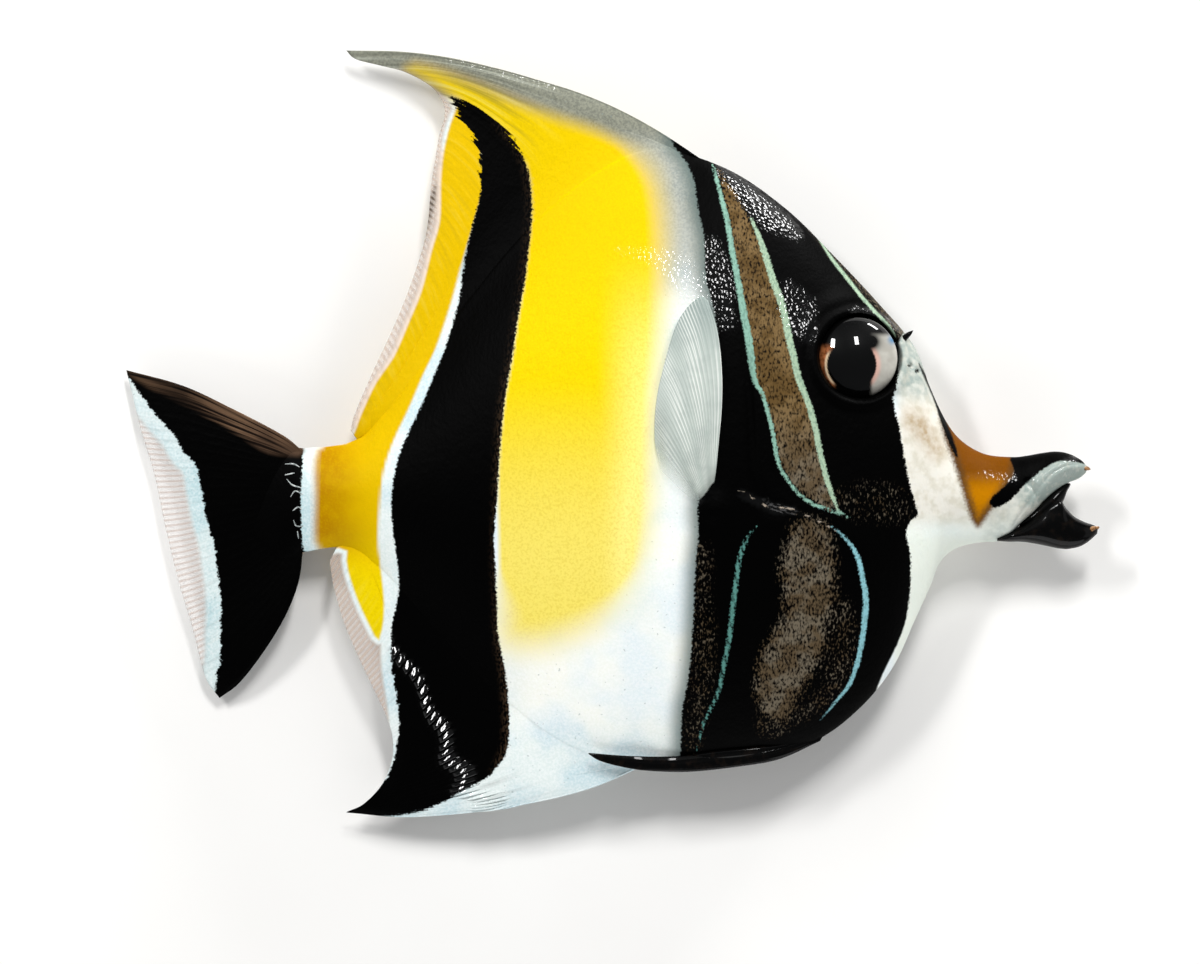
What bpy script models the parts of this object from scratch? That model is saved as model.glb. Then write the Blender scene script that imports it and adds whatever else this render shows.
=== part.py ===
"""Moorish idol, life size, lying on its left flank as a caught fish comes to rest.

+X points to the head, +Y to the dorsal side and +Z up, out of the right flank. The origin is on
the floor under the middle of the outline. Lengths are in millimetres until a mesh is made.
"""
import math

import bmesh
import bpy
import numpy as np
from mathutils import Matrix, Vector
from mathutils.bvhtree import BVHTree

# Driving dimensions
MM = 0.001
GAP = 0.3
MIDPLANE = 6.0
TAIL_SAG = 1.7
SNOUT_SAG = 0.5
PEDUNCLE_END = -30.5
FLANK_EASE = 0.4

# Fins: a membrane, the rays raised on both its faces and the scaly sheath at the root
MEMBRANE = 0.52
RAY_HEIGHT = 0.34
SHEATH = 1.1
DORSAL_RAYS = 24
ANAL_RAYS = 20
CAUDAL_RAYS = 16
PECTORAL_RAYS = 12
PELVIC_RAYS = 5

# Eyes
EYE_CENTRE = (24.75, 7.55)
EYE_RADIUS = 4.15
EYE_HALF_DEPTH = 1.7
EYE_SUNK = 0.95
LEFT_EYE_PRESSED = 0.35

# Resolution of the body, and a length well outside it
STATIONS = 42
SIDE_STEPS = 18
FAR = 60.0

# Ribs of the body from the snout to the tail: dorsal x and y, ventral x and y, half of the
# width, and how much fuller the dorsal half of the section is than the ventral one.
RIBS = [
    (40.2, -2.5, 39.3, -10.8, 2.2, 0.05),
    (37.5, -2.2, 36.5, -11.1, 2.6, 0.08),
    (35.2, -0.9, 34.3, -11.8, 3.1, 0.12),
    (33.6, 1.1, 32.9, -13.2, 3.4, 0.16),
    (32.0, 4.5, 32.0, -15.5, 3.9, 0.18),
    (30.4, 8.6, 30.5, -18.8, 4.5, 0.20),
    (27.0, 12.7, 28.3, -23.5, 5.3, 0.20),
    (22.5, 17.5, 25.0, -27.6, 6.2, 0.14),
    (17.5, 22.4, 20.5, -30.9, 6.9, 0.08),
    (11.5, 26.4, 14.5, -32.6, 7.2, 0.05),
    (4.5, 28.2, 7.5, -33.3, 7.2, 0.02),
    (-1.5, 25.8, 0.5, -33.0, 6.8, 0.0),
    (-7.5, 20.9, -6.0, -30.2, 6.0, 0.0),
    (-13.0, 14.6, -12.5, -24.8, 4.9, 0.0),
    (-18.5, 7.0, -18.5, -18.2, 3.8, 0.0),
    (-22.5, 1.9, -23.0, -13.6, 3.0, 0.0),
    (-25.8, -0.9, -26.3, -11.6, 2.4, 0.0),
    (PEDUNCLE_END, -1.6, PEDUNCLE_END, -12.0, 1.5, 0.0),
]

# Lines of the thin cuts between the nodes of flesh, from the dorsal to the ventral side
GILL_EDGE = [
    (8.2, 34.0), (9.6, 27.4), (11.6, 20.0), (13.4, 10.0), (14.4, 4.2), (16.0, -2.0),
    (18.2, -6.0), (22.0, -8.0), (25.8, -9.4), (28.8, -12.6), (31.2, -17.0), (33.2, -22.5),
]
SNOUT_EDGE = [(35.4, 8.0), (33.2, 2.2), (32.7, -3.0), (32.9, -8.0), (33.5, -13.0), (35.0, -20.0)]
TAIL_EDGE = [(-24.6, 4.0), (-25.4, -3.0), (-25.6, -6.5), (-25.5, -10.0), (-25.0, -17.0)]


# Plane curves

def smooth_path(points, count):
    """A Catmull-Rom curve through the points, at even steps of its length."""
    knots = np.array(points, dtype=float)
    first = 2 * knots[0] - knots[1]
    last = 2 * knots[-1] - knots[-2]
    knots = np.vstack([first, knots, last])
    samples = []
    for k in range(1, len(knots) - 2):
        a, b, c, d = knots[k - 1:k + 3]
        for t in np.linspace(0.0, 1.0, 24, endpoint=False):
            samples.append(0.5 * (2 * b + (c - a) * t + (2 * a - 5 * b + 4 * c - d) * t ** 2
                                  + (3 * b - a - 3 * c + d) * t ** 3))
    samples.append(knots[-2])
    return resample(np.array(samples), count)


def resample(path, count, spacing=None):
    """Points along a polyline at even steps, or at the given fractions of its length."""
    steps = np.linalg.norm(np.diff(path, axis=0), axis=1)
    length = np.concatenate([[0.0], np.cumsum(steps)])
    fractions = np.linspace(0.0, 1.0, count) if spacing is None else spacing
    wanted = fractions * length[-1]
    return np.stack([np.interp(wanted, length, path[:, k]) for k in range(path.shape[1])], axis=1)


def offset_path(path, distance):
    """The polyline moved to the left of its own direction by the distance."""
    direction = np.gradient(path, axis=0)
    direction /= np.linalg.norm(direction, axis=1)[:, None]
    left = np.stack([-direction[:, 1], direction[:, 0]], axis=1)
    return path + distance * left


def smoothstep(low, high, value):
    t = np.clip((value - low) / (high - low), 0.0, 1.0)
    return t * t * (3 - 2 * t)


def distance_to(path, x, y):
    """The distance of a point from a polyline's points."""
    return float(np.min(np.hypot(path[:, 0] - x, path[:, 1] - y)))


# The body's section

def midplane_height(x):
    """The height of the fish's middle plane: the tail and the snout sag towards the floor."""
    tail = np.clip(-x / 31.0, 0.0, 1.6)
    snout = np.clip((x - 20.0) / 28.0, 0.0, 1.0)
    return MIDPLANE - TAIL_SAG * tail ** 1.6 - SNOUT_SAG * snout ** 2


def section_profile(sine):
    """The half width round a section as a share: rounded flanks that close to a narrow keel."""
    return 0.55 * sine ** 1.6 + 0.45 * sine


def pressed(half_width, room):
    """A flank pressed flat: it eases into the floor, which is `room` below the middle plane."""
    start = room - FLANK_EASE
    ease = np.clip(half_width - start, 0.0, 2 * FLANK_EASE)
    return min(half_width, start + 2 * FLANK_EASE) - ease ** 2 / (4 * FLANK_EASE)


def fin_bed(x, y):
    """The hollow that the left pectoral fin presses into the lower flank."""
    radius = math.hypot((x - 8.2) / 5.4, (y - 2.6) / 12.4)
    return 1.15 * (1.0 - float(smoothstep(1.0, 1.3, radius)))


def body_rows(gill_rise):
    """The rings of the body, each from the dorsal keel over the right flank and back."""
    ribs = np.array(RIBS)
    dense = smooth_path(ribs, 1200)
    fractions = np.linspace(0.0, 1.0, STATIONS) ** 1.08
    stations = resample(dense, STATIONS, fractions)
    gill = smooth_path(GILL_EDGE, 160)
    angles = np.linspace(0.0, math.pi, SIDE_STEPS + 1)
    rows = []
    for dx, dy, vx, vy, width, fullness in stations:
        right = []
        left = []
        for angle in angles:
            along = 0.5 * (1.0 - math.cos(angle))
            x = dx + (vx - dx) * along
            y = dy + (vy - dy) * along
            half = width * section_profile(math.sin(angle)) * (1.0 + fullness * math.cos(angle))
            near = distance_to(gill, x, y)
            cover = float(smoothstep(14.0, 6.0, y) * smoothstep(0.0, 0.5, math.sin(angle)))
            half = half + gill_rise * cover * math.exp(-(near / 3.0) ** 2)
            middle = float(midplane_height(x))
            room = middle - fin_bed(x, y)
            right.append((x, y, middle + half))
            left.append((x, y, middle - pressed(half, room)))
        rows.append(right[:-1] + left[:0:-1])
    return rows


# Meshes and objects

def fresh_scene():
    for item in list(bpy.data.objects):
        bpy.data.objects.remove(item, do_unlink=True)
    collection = bpy.data.collections.new("moorish_idol")
    bpy.context.scene.collection.children.link(collection)
    return collection


PARTS = fresh_scene()


def add_mesh(name, points, faces):
    """An object from points in millimetres and faces, with its normals pointing out."""
    mesh = bpy.data.meshes.new(name)
    mesh.from_pydata([tuple(float(c) * MM for c in p) for p in points], [], faces)
    work = bmesh.new()
    work.from_mesh(mesh)
    bmesh.ops.recalc_face_normals(work, faces=work.faces)
    work.to_mesh(mesh)
    work.free()
    item = bpy.data.objects.new(name, mesh)
    PARTS.objects.link(item)
    return item


def loft(name, rows):
    """A closed solid through rings of points that match one for one, with flat ends."""
    ring = len(rows[0])
    points = [point for row in rows for point in row]
    faces = []
    for r in range(len(rows) - 1):
        for k in range(ring):
            a = r * ring + k
            b = r * ring + (k + 1) % ring
            faces.append((a, b, b + ring, a + ring))
    start = len(points)
    points.append(tuple(np.mean(np.array(rows[0]), axis=0)))
    points.append(tuple(np.mean(np.array(rows[-1]), axis=0)))
    last = (len(rows) - 1) * ring
    for k in range(ring):
        faces.append((start, (k + 1) % ring, k))
        faces.append((start + 1, last + k, last + (k + 1) % ring))
    return add_mesh(name, points, faces)


def prism(name, outline):
    """A tall closed prism on a plane outline, used to part the body."""
    curve = bpy.data.curves.new(name, "CURVE")
    curve.dimensions = "2D"
    curve.fill_mode = "BOTH"
    curve.extrude = 40.0 * MM
    spline = curve.splines.new("POLY")
    spline.points.add(len(outline) - 1)
    for point, (x, y) in zip(spline.points, outline):
        point.co = (x * MM, y * MM, 0.0, 1.0)
    spline.use_cyclic_u = True
    item = bpy.data.objects.new(name, curve)
    PARTS.objects.link(item)
    return as_mesh(item)


def as_mesh(item):
    """Replaces a curve object by a welded mesh object of the same name and place."""
    name = item.name
    place = item.matrix_world.copy()
    graph = bpy.context.evaluated_depsgraph_get()
    mesh = bpy.data.meshes.new_from_object(item.evaluated_get(graph))
    bpy.data.objects.remove(item, do_unlink=True)
    work = bmesh.new()
    work.from_mesh(mesh)
    bmesh.ops.remove_doubles(work, verts=work.verts, dist=0.000001)
    bmesh.ops.recalc_face_normals(work, faces=work.faces)
    work.to_mesh(mesh)
    work.free()
    solid = bpy.data.objects.new(name, mesh)
    solid.matrix_world = place
    PARTS.objects.link(solid)
    return solid


def keep_largest(work):
    """Leaves only the closed surface with the most volume in a bmesh."""
    left = set(work.verts)
    shells = []
    while left:
        shell = {left.pop()}
        edge = list(shell)
        while edge:
            vertex = edge.pop()
            for link in vertex.link_edges:
                other = link.other_vert(vertex)
                if other not in shell:
                    shell.add(other)
                    edge.append(other)
        left -= shell
        shells.append(shell)
    if len(shells) < 2:
        return

    def size(shell):
        spread = np.array([vertex.co[:] for vertex in shell])
        return float(np.prod(np.ptp(spread, axis=0)))

    shells.sort(key=size)
    doomed = [vertex for shell in shells[:-1] for vertex in shell]
    bmesh.ops.delete(work, geom=doomed, context="VERTS")


def combine(item, others, operation):
    """Joins, cuts or trims a solid by others in one Boolean, which is applied."""
    group = bpy.data.collections.new("cutters")
    bpy.context.scene.collection.children.link(group)
    for other in others:
        for old in list(other.users_collection):
            old.objects.unlink(other)
        group.objects.link(other)
        other.hide_render = True
        other.display_type = "WIRE"
    boolean = item.modifiers.new("boolean", "BOOLEAN")
    boolean.operation = operation
    boolean.solver = "EXACT"
    boolean.operand_type = "COLLECTION"
    boolean.collection = group
    graph = bpy.context.evaluated_depsgraph_get()
    mesh = bpy.data.meshes.new_from_object(item.evaluated_get(graph))
    item.modifiers.clear()
    work = bmesh.new()
    work.from_mesh(mesh)
    keep_largest(work)
    bmesh.ops.triangulate(work, faces=work.faces)
    work.to_mesh(mesh)
    work.free()
    old_mesh = item.data
    item.data = mesh
    bpy.data.meshes.remove(old_mesh)
    for other in others:
        bpy.data.objects.remove(other, do_unlink=True)
    bpy.data.collections.remove(group)
    return item


def height_over(tree, x, y, reach):
    """The highest point of a surface within reach of a place in the plan, or None."""
    best = None
    places = [(0.0, 0.0)] + [(reach * math.cos(a), reach * math.sin(a))
                             for a in np.linspace(0.0, 2 * math.pi, 8, endpoint=False)]
    for dx, dy in places:
        start = Vector(((x + dx) * MM, (y + dy) * MM, 0.1))
        hit = tree.ray_cast(start, Vector((0.0, 0.0, -1.0)))[0]
        if hit is not None and (best is None or hit.z / MM > best):
            best = hit.z / MM
    return best


def surface_tree(item):
    graph = bpy.context.evaluated_depsgraph_get()
    return BVHTree.FromObject(item, graph)


# Materials

def linear(channel):
    value = channel / 255.0
    return value / 12.92 if value <= 0.04045 else ((value + 0.055) / 1.055) ** 2.4


def colour(item, code, roughness):
    """Gives an object its own Principled material in an sRGB colour."""
    material = bpy.data.materials.new(item.name + "_skin")
    material.use_nodes = True
    shader = material.node_tree.nodes["Principled BSDF"]
    red, green, blue = (linear(int(code[k:k + 2], 16)) for k in (1, 3, 5))
    shader.inputs["Base Color"].default_value = (red, green, blue, 1.0)
    shader.inputs["Roughness"].default_value = roughness
    shader.inputs["Metallic"].default_value = 0.0
    item.data.materials.clear()
    item.data.materials.append(material)
    item.data.shade_smooth()
    item.data.set_sharp_from_angle(angle=math.radians(50.0))


# Fins

def coons(root, margin, leading, trailing):
    """A patch between four edges: root and margin run across the rays, the others along them."""
    columns = len(root)
    rows = len(leading)
    grid = np.zeros((rows, columns, root.shape[1]))
    for r in range(rows):
        v = r / (rows - 1)
        for c in range(columns):
            u = c / (columns - 1)
            across = (1 - v) * root[c] + v * margin[c]
            along = (1 - u) * leading[r] + u * trailing[r]
            corners = ((1 - u) * (1 - v) * root[0] + u * (1 - v) * root[-1]
                       + (1 - u) * v * margin[0] + u * v * margin[-1])
            grid[r, c] = across + along - corners
    return grid


def fin(name, grid, thickness):
    """A ribbed membrane: a triangulated middle surface, thickened alike on both faces."""
    rows, columns = grid.shape[:2]
    points = grid.reshape(-1, 3)
    faces = []
    for r in range(rows - 1):
        for c in range(columns - 1):
            a = r * columns + c
            b = a + 1
            d = a + columns
            e = d + 1
            if c % 2 == 0:
                faces += [(a, b, e), (a, e, d)]
            else:
                faces += [(a, b, d), (b, e, d)]
    item = add_mesh(name, points, faces)
    top = float(np.max(thickness))
    group = item.vertex_groups.new(name="thickness")
    for index, value in enumerate(thickness.reshape(-1)):
        group.add([index], float(value) / top, "REPLACE")
    solid = item.modifiers.new("solidify", "SOLIDIFY")
    solid.thickness = top * MM
    solid.offset = 0.0
    solid.vertex_group = "thickness"
    solid.use_rim = True
    return item


def rib_thickness(rows, rays, sheath, bare_from, root_extra=None):
    """How thick a fin is: rays on every second column, and a sheath that fades outwards."""
    columns = 2 * rays - 1
    thickness = np.zeros((rows, columns))
    for r in range(rows):
        v = r / (rows - 1)
        shown = float(smoothstep(bare_from * 0.4, bare_from, v) * (1.0 - smoothstep(0.8, 1.0, v)))
        for c in range(columns):
            ray = RAY_HEIGHT * shown if c % 2 == 0 else 0.0
            base = sheath if root_extra is None else root_extra[c]
            cover = base * (1.0 - float(smoothstep(0.0, bare_from, v)))
            thickness[r, c] = MEMBRANE + ray + cover
    return thickness


def body_edge(side, x_from, x_to, count):
    """The fin's root line: the dorsal or ventral keel, GAP outside the flesh."""
    ribs = np.array(RIBS)
    columns = (0, 1) if side > 0 else (2, 3)
    keel = smooth_path(ribs, 1200)[:, columns]
    outside = offset_path(keel, -side * GAP)
    inside = (outside[:, 0] <= x_from) & (outside[:, 0] >= x_to)
    return resample(outside[inside], count)


def lifted(plan, heights):
    return np.concatenate([plan, heights[:, :, None]], axis=2)


def median_fin(name, side, rays, rows, x_from, x_to, leading, trailing, lean, drop, bare_from):
    """A dorsal or anal fin, rooted along the keel and drooping towards the floor at its tip."""
    columns = 2 * rays - 1
    root = body_edge(side, x_from, x_to, columns)
    front = smooth_path([tuple(root[0])] + leading, rows)
    spread = np.linspace(0.0, 1.0, columns)
    spread = spread + lean * np.sin(math.pi * spread)
    margin = resample(smooth_path([leading[-1]] + trailing, 400), columns, spread)
    back = resample(np.array([root[-1], margin[-1]]), rows)
    plan = coons(root, margin, front, back)
    heights = np.zeros((rows, columns))
    for r in range(rows):
        v = r / (rows - 1)
        for c in range(columns):
            u = c / (columns - 1)
            ripple = 0.18 * math.sin(math.pi * v) * math.sin(9.0 * u + 2.0 * v)
            fall = drop * (1 - u) ** 1.1 * v ** 1.3
            heights[r, c] = float(midplane_height(root[c, 0])) - fall + ripple
    thickness = rib_thickness(rows, rays, SHEATH, bare_from)
    return fin(name, lifted(plan, heights), thickness)


def build_dorsal_fin():
    leading = [(5.0, 30.0), (1.0, 32.2), (-3.0, 33.9), (-7.0, 35.2), (-11.0, 36.4),
               (-16.0, 37.6), (-21.0, 38.4), (-26.6, 38.6)]
    trailing = [(-25.6, 37.5), (-23.0, 36.9), (-20.5, 36.2), (-17.6, 34.7), (-16.2, 32.6),
                (-16.9, 29.6), (-17.4, 25.0), (-18.0, 20.0), (-19.6, 15.0), (-21.4, 10.5),
                (-23.6, 6.0), (-25.4, 2.0), (-26.0, 0.6)]
    return median_fin("dorsal_fin", 1, DORSAL_RAYS, 12, 8.9, -25.4, leading, trailing,
                      0.10, 4.0, 0.34)


def build_anal_fin():
    leading = [(-1.0, -35.3), (-5.0, -36.5), (-11.0, -37.7), (-16.0, -38.3), (-21.0, -38.6),
               (-26.5, -38.3)]
    trailing = [(-24.6, -37.2), (-22.5, -34.8), (-21.5, -31.8), (-21.5, -29.0), (-23.2, -25.8),
                (-24.9, -22.6), (-26.5, -19.0), (-27.6, -15.5), (-28.0, -13.2)]
    return median_fin("anal_fin", -1, ANAL_RAYS, 12, 3.4, -27.4, leading, trailing,
                      0.04, 3.8, 0.42)


def build_caudal_fin():
    rows = 13
    columns = 2 * CAUDAL_RAYS - 1
    root_x = PEDUNCLE_END - GAP
    root = resample(np.array([(root_x, -1.9), (root_x, -11.7)]), columns)
    upper = smooth_path([tuple(root[0]), (-33.0, -0.2), (-38.0, 2.4), (-43.0, 4.7), (-48.8, 6.1)],
                        rows)
    lower = smooth_path([tuple(root[-1]), (-31.2, -14.8), (-32.2, -17.6), (-33.6, -20.2),
                         (-35.5, -23.0), (-37.5, -25.4), (-39.4, -26.6)], rows)
    margin = smooth_path([(-48.8, 6.1), (-47.4, 2.2), (-46.3, -2.0), (-45.2, -6.0),
                          (-44.0, -10.0), (-42.7, -15.0), (-41.5, -20.0), (-40.6, -24.5),
                          (-39.4, -26.6)], columns)
    plan = coons(root, margin, upper, lower)
    heights = np.zeros((rows, columns))
    start = float(midplane_height(root_x))
    for r in range(rows):
        v = r / (rows - 1)
        for c in range(columns):
            u = c / (columns - 1)
            fall = (2.0 + 1.0 * (2 * u - 1) ** 2) * v ** 1.7
            heights[r, c] = start - fall + 0.2 * math.sin(math.pi * v) * math.sin(7.0 * u)
    share = np.linspace(-1.0, 1.0, columns)
    root_extra = 2.0 * 1.5 * section_profile(np.sqrt(1.0 - (0.96 * share) ** 2)) - MEMBRANE
    thickness = rib_thickness(rows, CAUDAL_RAYS, 0.0, 0.24, np.maximum(root_extra, 0.3))
    return fin("caudal_fin", lifted(plan, heights), thickness)


PECTORAL_ROOT = [(11.4, -6.6), (10.6, -7.6), (9.6, -8.2)]
PECTORAL_FRONT = [(10.9, -3.0), (10.5, 1.0), (10.9, 5.0), (10.9, 9.5), (10.0, 12.6)]
PECTORAL_TIP = [(8.9, 13.1), (7.6, 12.2), (6.6, 10.2), (5.7, 7.2)]
PECTORAL_BACK = [(7.4, -7.0), (5.6, -4.4), (4.7, -0.8), (4.8, 3.2)]


def pectoral_plan(rows):
    columns = 2 * PECTORAL_RAYS - 1
    root = smooth_path(PECTORAL_ROOT, columns)
    front = smooth_path([tuple(root[0])] + PECTORAL_FRONT, rows)
    margin = smooth_path([PECTORAL_FRONT[-1]] + PECTORAL_TIP, columns)
    back = smooth_path([tuple(root[-1])] + PECTORAL_BACK + [PECTORAL_TIP[-1]], rows)
    return coons(root, margin, front, back)


def build_pectoral_fins(flank):
    """The right fin is laid up along the flank. The left one lies flat under the body."""
    rows = 11
    plan = pectoral_plan(rows)
    thickness = rib_thickness(rows, PECTORAL_RAYS, 0.5, 0.2) - 0.04
    upper = np.zeros(plan.shape[:2])
    for r in range(rows):
        v = r / (rows - 1)
        lift = 0.9 * math.sin(math.pi * min(1.0, v * 0.8)) ** 2
        for c in range(plan.shape[1]):
            ground = height_over(flank, plan[r, c, 0], plan[r, c, 1], 0.7)
            upper[r, c] = ground + GAP + 0.5 * thickness[r, c] + lift
    right = fin("pectoral_fin_right", lifted(plan, upper), thickness)
    low_thickness = rib_thickness(rows, PECTORAL_RAYS, 0.0, 0.2) - 0.04
    left = fin("pectoral_fin_left", lifted(plan, 0.5 * low_thickness), low_thickness)
    return right, left


def build_pelvic_fins(flank):
    """Two slender fins, folded back along both sides of the belly's keel."""
    rows = 15
    columns = 2 * PELVIC_RAYS - 1
    root = smooth_path([(21.6, -29.9), (21.2, -30.6), (20.6, -31.4)], columns)
    upper = smooth_path([tuple(root[0]), (17.0, -30.6), (11.0, -31.6), (5.0, -32.2), (-2.0, -31.9)],
                        rows)
    lower = smooth_path([tuple(root[-1]), (17.0, -32.4), (12.0, -33.3), (7.0, -33.7),
                         (2.6, -33.4), (-2.2, -32.4)], rows)
    margin = resample(np.array([upper[-1], lower[-1]]), columns)
    plan = coons(root, margin, upper, lower)
    thickness = rib_thickness(rows, PELVIC_RAYS, 0.3, 0.15) - 0.04
    heights = np.zeros(plan.shape[:2])
    for r in range(rows):
        for c in range(columns):
            x, y = plan[r, c]
            ground = height_over(flank, x, y, 0.6)
            middle = float(midplane_height(x))
            rise = 0.9 if ground is None else max(0.9, ground - middle)
            heights[r, c] = rise + GAP + 0.5 * thickness[r, c]
    smooth = heights.copy()
    smooth[:, 1:-1] = np.maximum(heights[:, 1:-1], 0.5 * (heights[:, :-2] + heights[:, 2:]))
    made = []
    for name, sign in (("pelvic_fin_right", 1.0), ("pelvic_fin_left", -1.0)):
        level = midplane_height(plan[:, :, 0]) + sign * smooth
        made.append(fin(name, lifted(plan, level), thickness))
    return made


# Flesh

def region(front, back):
    """An outline between two cut lines that both run from the dorsal to the ventral side."""
    corners = []
    for line in (front, back[::-1]):
        first = (line[0][0], math.copysign(FAR, line[0][1]))
        last = (line[-1][0], math.copysign(FAR, line[-1][1]))
        corners += [first] + list(map(tuple, line)) + [last]
    return corners


def cut_line(points, side):
    """One side of a cut between two nodes: its middle line moved by half of the gap."""
    return offset_path(smooth_path(points, 40), side * GAP / 2)


def far_line(x):
    return np.array([(x, 0.8 * FAR), (x, -0.8 * FAR)])


def build_flesh():
    """The body, modelled whole and parted at the snout, the gill cover's edge and the tail."""
    with_cover = body_rows(0.45)
    behind_cover = body_rows(-0.12)
    nodes = {}
    outlines = {
        "snout": (with_cover, region(far_line(60.0), cut_line(SNOUT_EDGE, 1))),
        "head": (with_cover, region(cut_line(SNOUT_EDGE, -1), cut_line(GILL_EDGE, 1))),
        "torso": (behind_cover, region(cut_line(GILL_EDGE, -1), cut_line(TAIL_EDGE, 1))),
        "tail_peduncle": (behind_cover, region(cut_line(TAIL_EDGE, -1), far_line(-60.0))),
    }
    for name, (rows, outline) in outlines.items():
        nodes[name] = combine(loft(name, rows), [prism(name + "_cut", outline)], "INTERSECT")
    return nodes


def flank_frame(tree, centre, sink):
    """The place and turn of a piece let into the right flank, `sink` below the skin."""
    normals = []
    for angle in np.linspace(0.0, 2 * math.pi, 12, endpoint=False):
        x = centre[0] + 3.6 * math.cos(angle)
        y = centre[1] + 3.6 * math.sin(angle)
        hit = tree.ray_cast(Vector((x * MM, y * MM, 0.1)), Vector((0.0, 0.0, -1.0)))
        normals.append(hit[1])
    normal = sum(normals, Vector()).normalized()
    top = tree.ray_cast(Vector((centre[0] * MM, centre[1] * MM, 0.1)), Vector((0.0, 0.0, -1.0)))[0]
    turn = Vector((0.0, 0.0, 1.0)).rotation_difference(normal).to_matrix().to_4x4()
    return Matrix.Translation(top - normal * sink * MM) @ turn


def mirrored(place):
    """The same place on the left flank, across the middle plane at that point."""
    height = place.translation.z / MM
    middle = float(midplane_height(place.translation.x / MM))
    flip = Matrix.Diagonal((1.0, 1.0, -1.0, 1.0))
    other = flip @ place
    other.translation.z = (2 * middle - height) * MM
    return other


def ellipsoid(name, place, radius, half_depth, segments, rings):
    bpy.ops.mesh.primitive_uv_sphere_add(segments=segments, ring_count=rings, radius=MM)
    item = bpy.context.active_object
    item.name = name
    shape = Matrix.Diagonal((radius, radius, half_depth, 1.0))
    item.data.transform(place @ shape)
    if place.determinant() < 0:
        item.data.flip_normals()
    for old in list(item.users_collection):
        old.objects.unlink(item)
    PARTS.objects.link(item)
    return item


def orbit_rim(name, place):
    """The fold of skin round an eye."""
    bpy.ops.mesh.primitive_torus_add(major_segments=24, minor_segments=6,
                                     major_radius=(EYE_RADIUS + 0.1) * MM, minor_radius=0.55 * MM)
    item = bpy.context.active_object
    item.name = name
    item.data.transform(place @ Matrix.Translation((0.0, 0.0, (EYE_SUNK - 0.25) * MM)))
    if place.determinant() < 0:
        item.data.flip_normals()
    for old in list(item.users_collection):
        old.objects.unlink(item)
    PARTS.objects.link(item)
    return item


def spike(name, base, tip, base_radius, tip_radius, sides):
    """A short cone between two points, for a tooth or a brow tubercle."""
    start = Vector(base)
    axis = Vector(tip) - start
    bpy.ops.mesh.primitive_cone_add(vertices=sides, radius1=base_radius * MM,
                                    radius2=tip_radius * MM, depth=axis.length * MM)
    item = bpy.context.active_object
    item.name = name
    turn = Vector((0.0, 0.0, 1.0)).rotation_difference(axis.normalized()).to_matrix().to_4x4()
    middle = Matrix.Translation((start + axis * 0.5) * MM)
    item.data.transform(middle @ turn)
    for old in list(item.users_collection):
        old.objects.unlink(item)
    PARTS.objects.link(item)
    return item


def tube(name, points, radius):
    """A rounded bar along a smooth line, for a lip."""
    path = smooth_path(points, 8)
    curve = bpy.data.curves.new(name, "CURVE")
    curve.dimensions = "3D"
    curve.bevel_depth = radius * MM
    curve.bevel_resolution = 1
    curve.use_fill_caps = True
    spline = curve.splines.new("POLY")
    spline.points.add(len(path) - 1)
    for point, place in zip(spline.points, path):
        point.co = (place[0] * MM, place[1] * MM, place[2] * MM, 1.0)
    item = bpy.data.objects.new(name, curve)
    PARTS.objects.link(item)
    return as_mesh(item)


def floor_block():
    """A block whose top is the floor, which trims what would reach below it."""
    bpy.ops.mesh.primitive_cube_add(size=2 * FAR * MM)
    item = bpy.context.active_object
    item.name = "floor_block"
    item.data.transform(Matrix.Translation((0.0, 0.0, -FAR * MM)))
    return item


def build_eyes(head, tree):
    """Both eyes in sockets with a fold of skin round them, and the tubercles before them."""
    right_place = flank_frame(tree, EYE_CENTRE, EYE_SUNK)
    left_place = mirrored(right_place)
    left_place.translation.z += LEFT_EYE_PRESSED * MM
    eyes = []
    rims = []
    sockets = [floor_block()]
    for side, place in (("right", right_place), ("left", left_place)):
        eyes.append(ellipsoid("eye_" + side, place, EYE_RADIUS, EYE_HALF_DEPTH, 24, 10))
        rims.append(orbit_rim("rim_" + side, place))
        sockets.append(ellipsoid("socket_" + side, place, EYE_RADIUS + GAP,
                                 EYE_HALF_DEPTH + GAP, 24, 10))
    tubercles = []
    for number, sign in enumerate((1.0, -1.0)):
        level = float(midplane_height(29.5))
        tubercles.append(spike("tubercle_%d" % number, (28.6, 8.8, level + sign * 1.1),
                               (30.2, 10.0, level + sign * 1.8), 0.8, 0.22, 8))
    combine(head, rims + tubercles, "UNION")
    combine(head, sockets, "DIFFERENCE")
    return eyes


def jaw_rows(pairs):
    """Rings of a jaw, each on a line between an upper and a lower point with a half width."""
    dense = smooth_path(pairs, 14)
    rows = []
    for ux, uy, lx, ly, width in dense:
        ring = []
        for angle in np.linspace(0.0, 2 * math.pi, 16, endpoint=False):
            along = 0.5 * (1.0 - math.cos(angle))
            x = ux + (lx - ux) * along
            y = uy + (ly - uy) * along
            side = width * math.copysign(abs(math.sin(angle)) ** 0.9, math.sin(angle))
            ring.append((x, y, float(midplane_height(x)) + side))
        rows.append(ring)
    return rows


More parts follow.
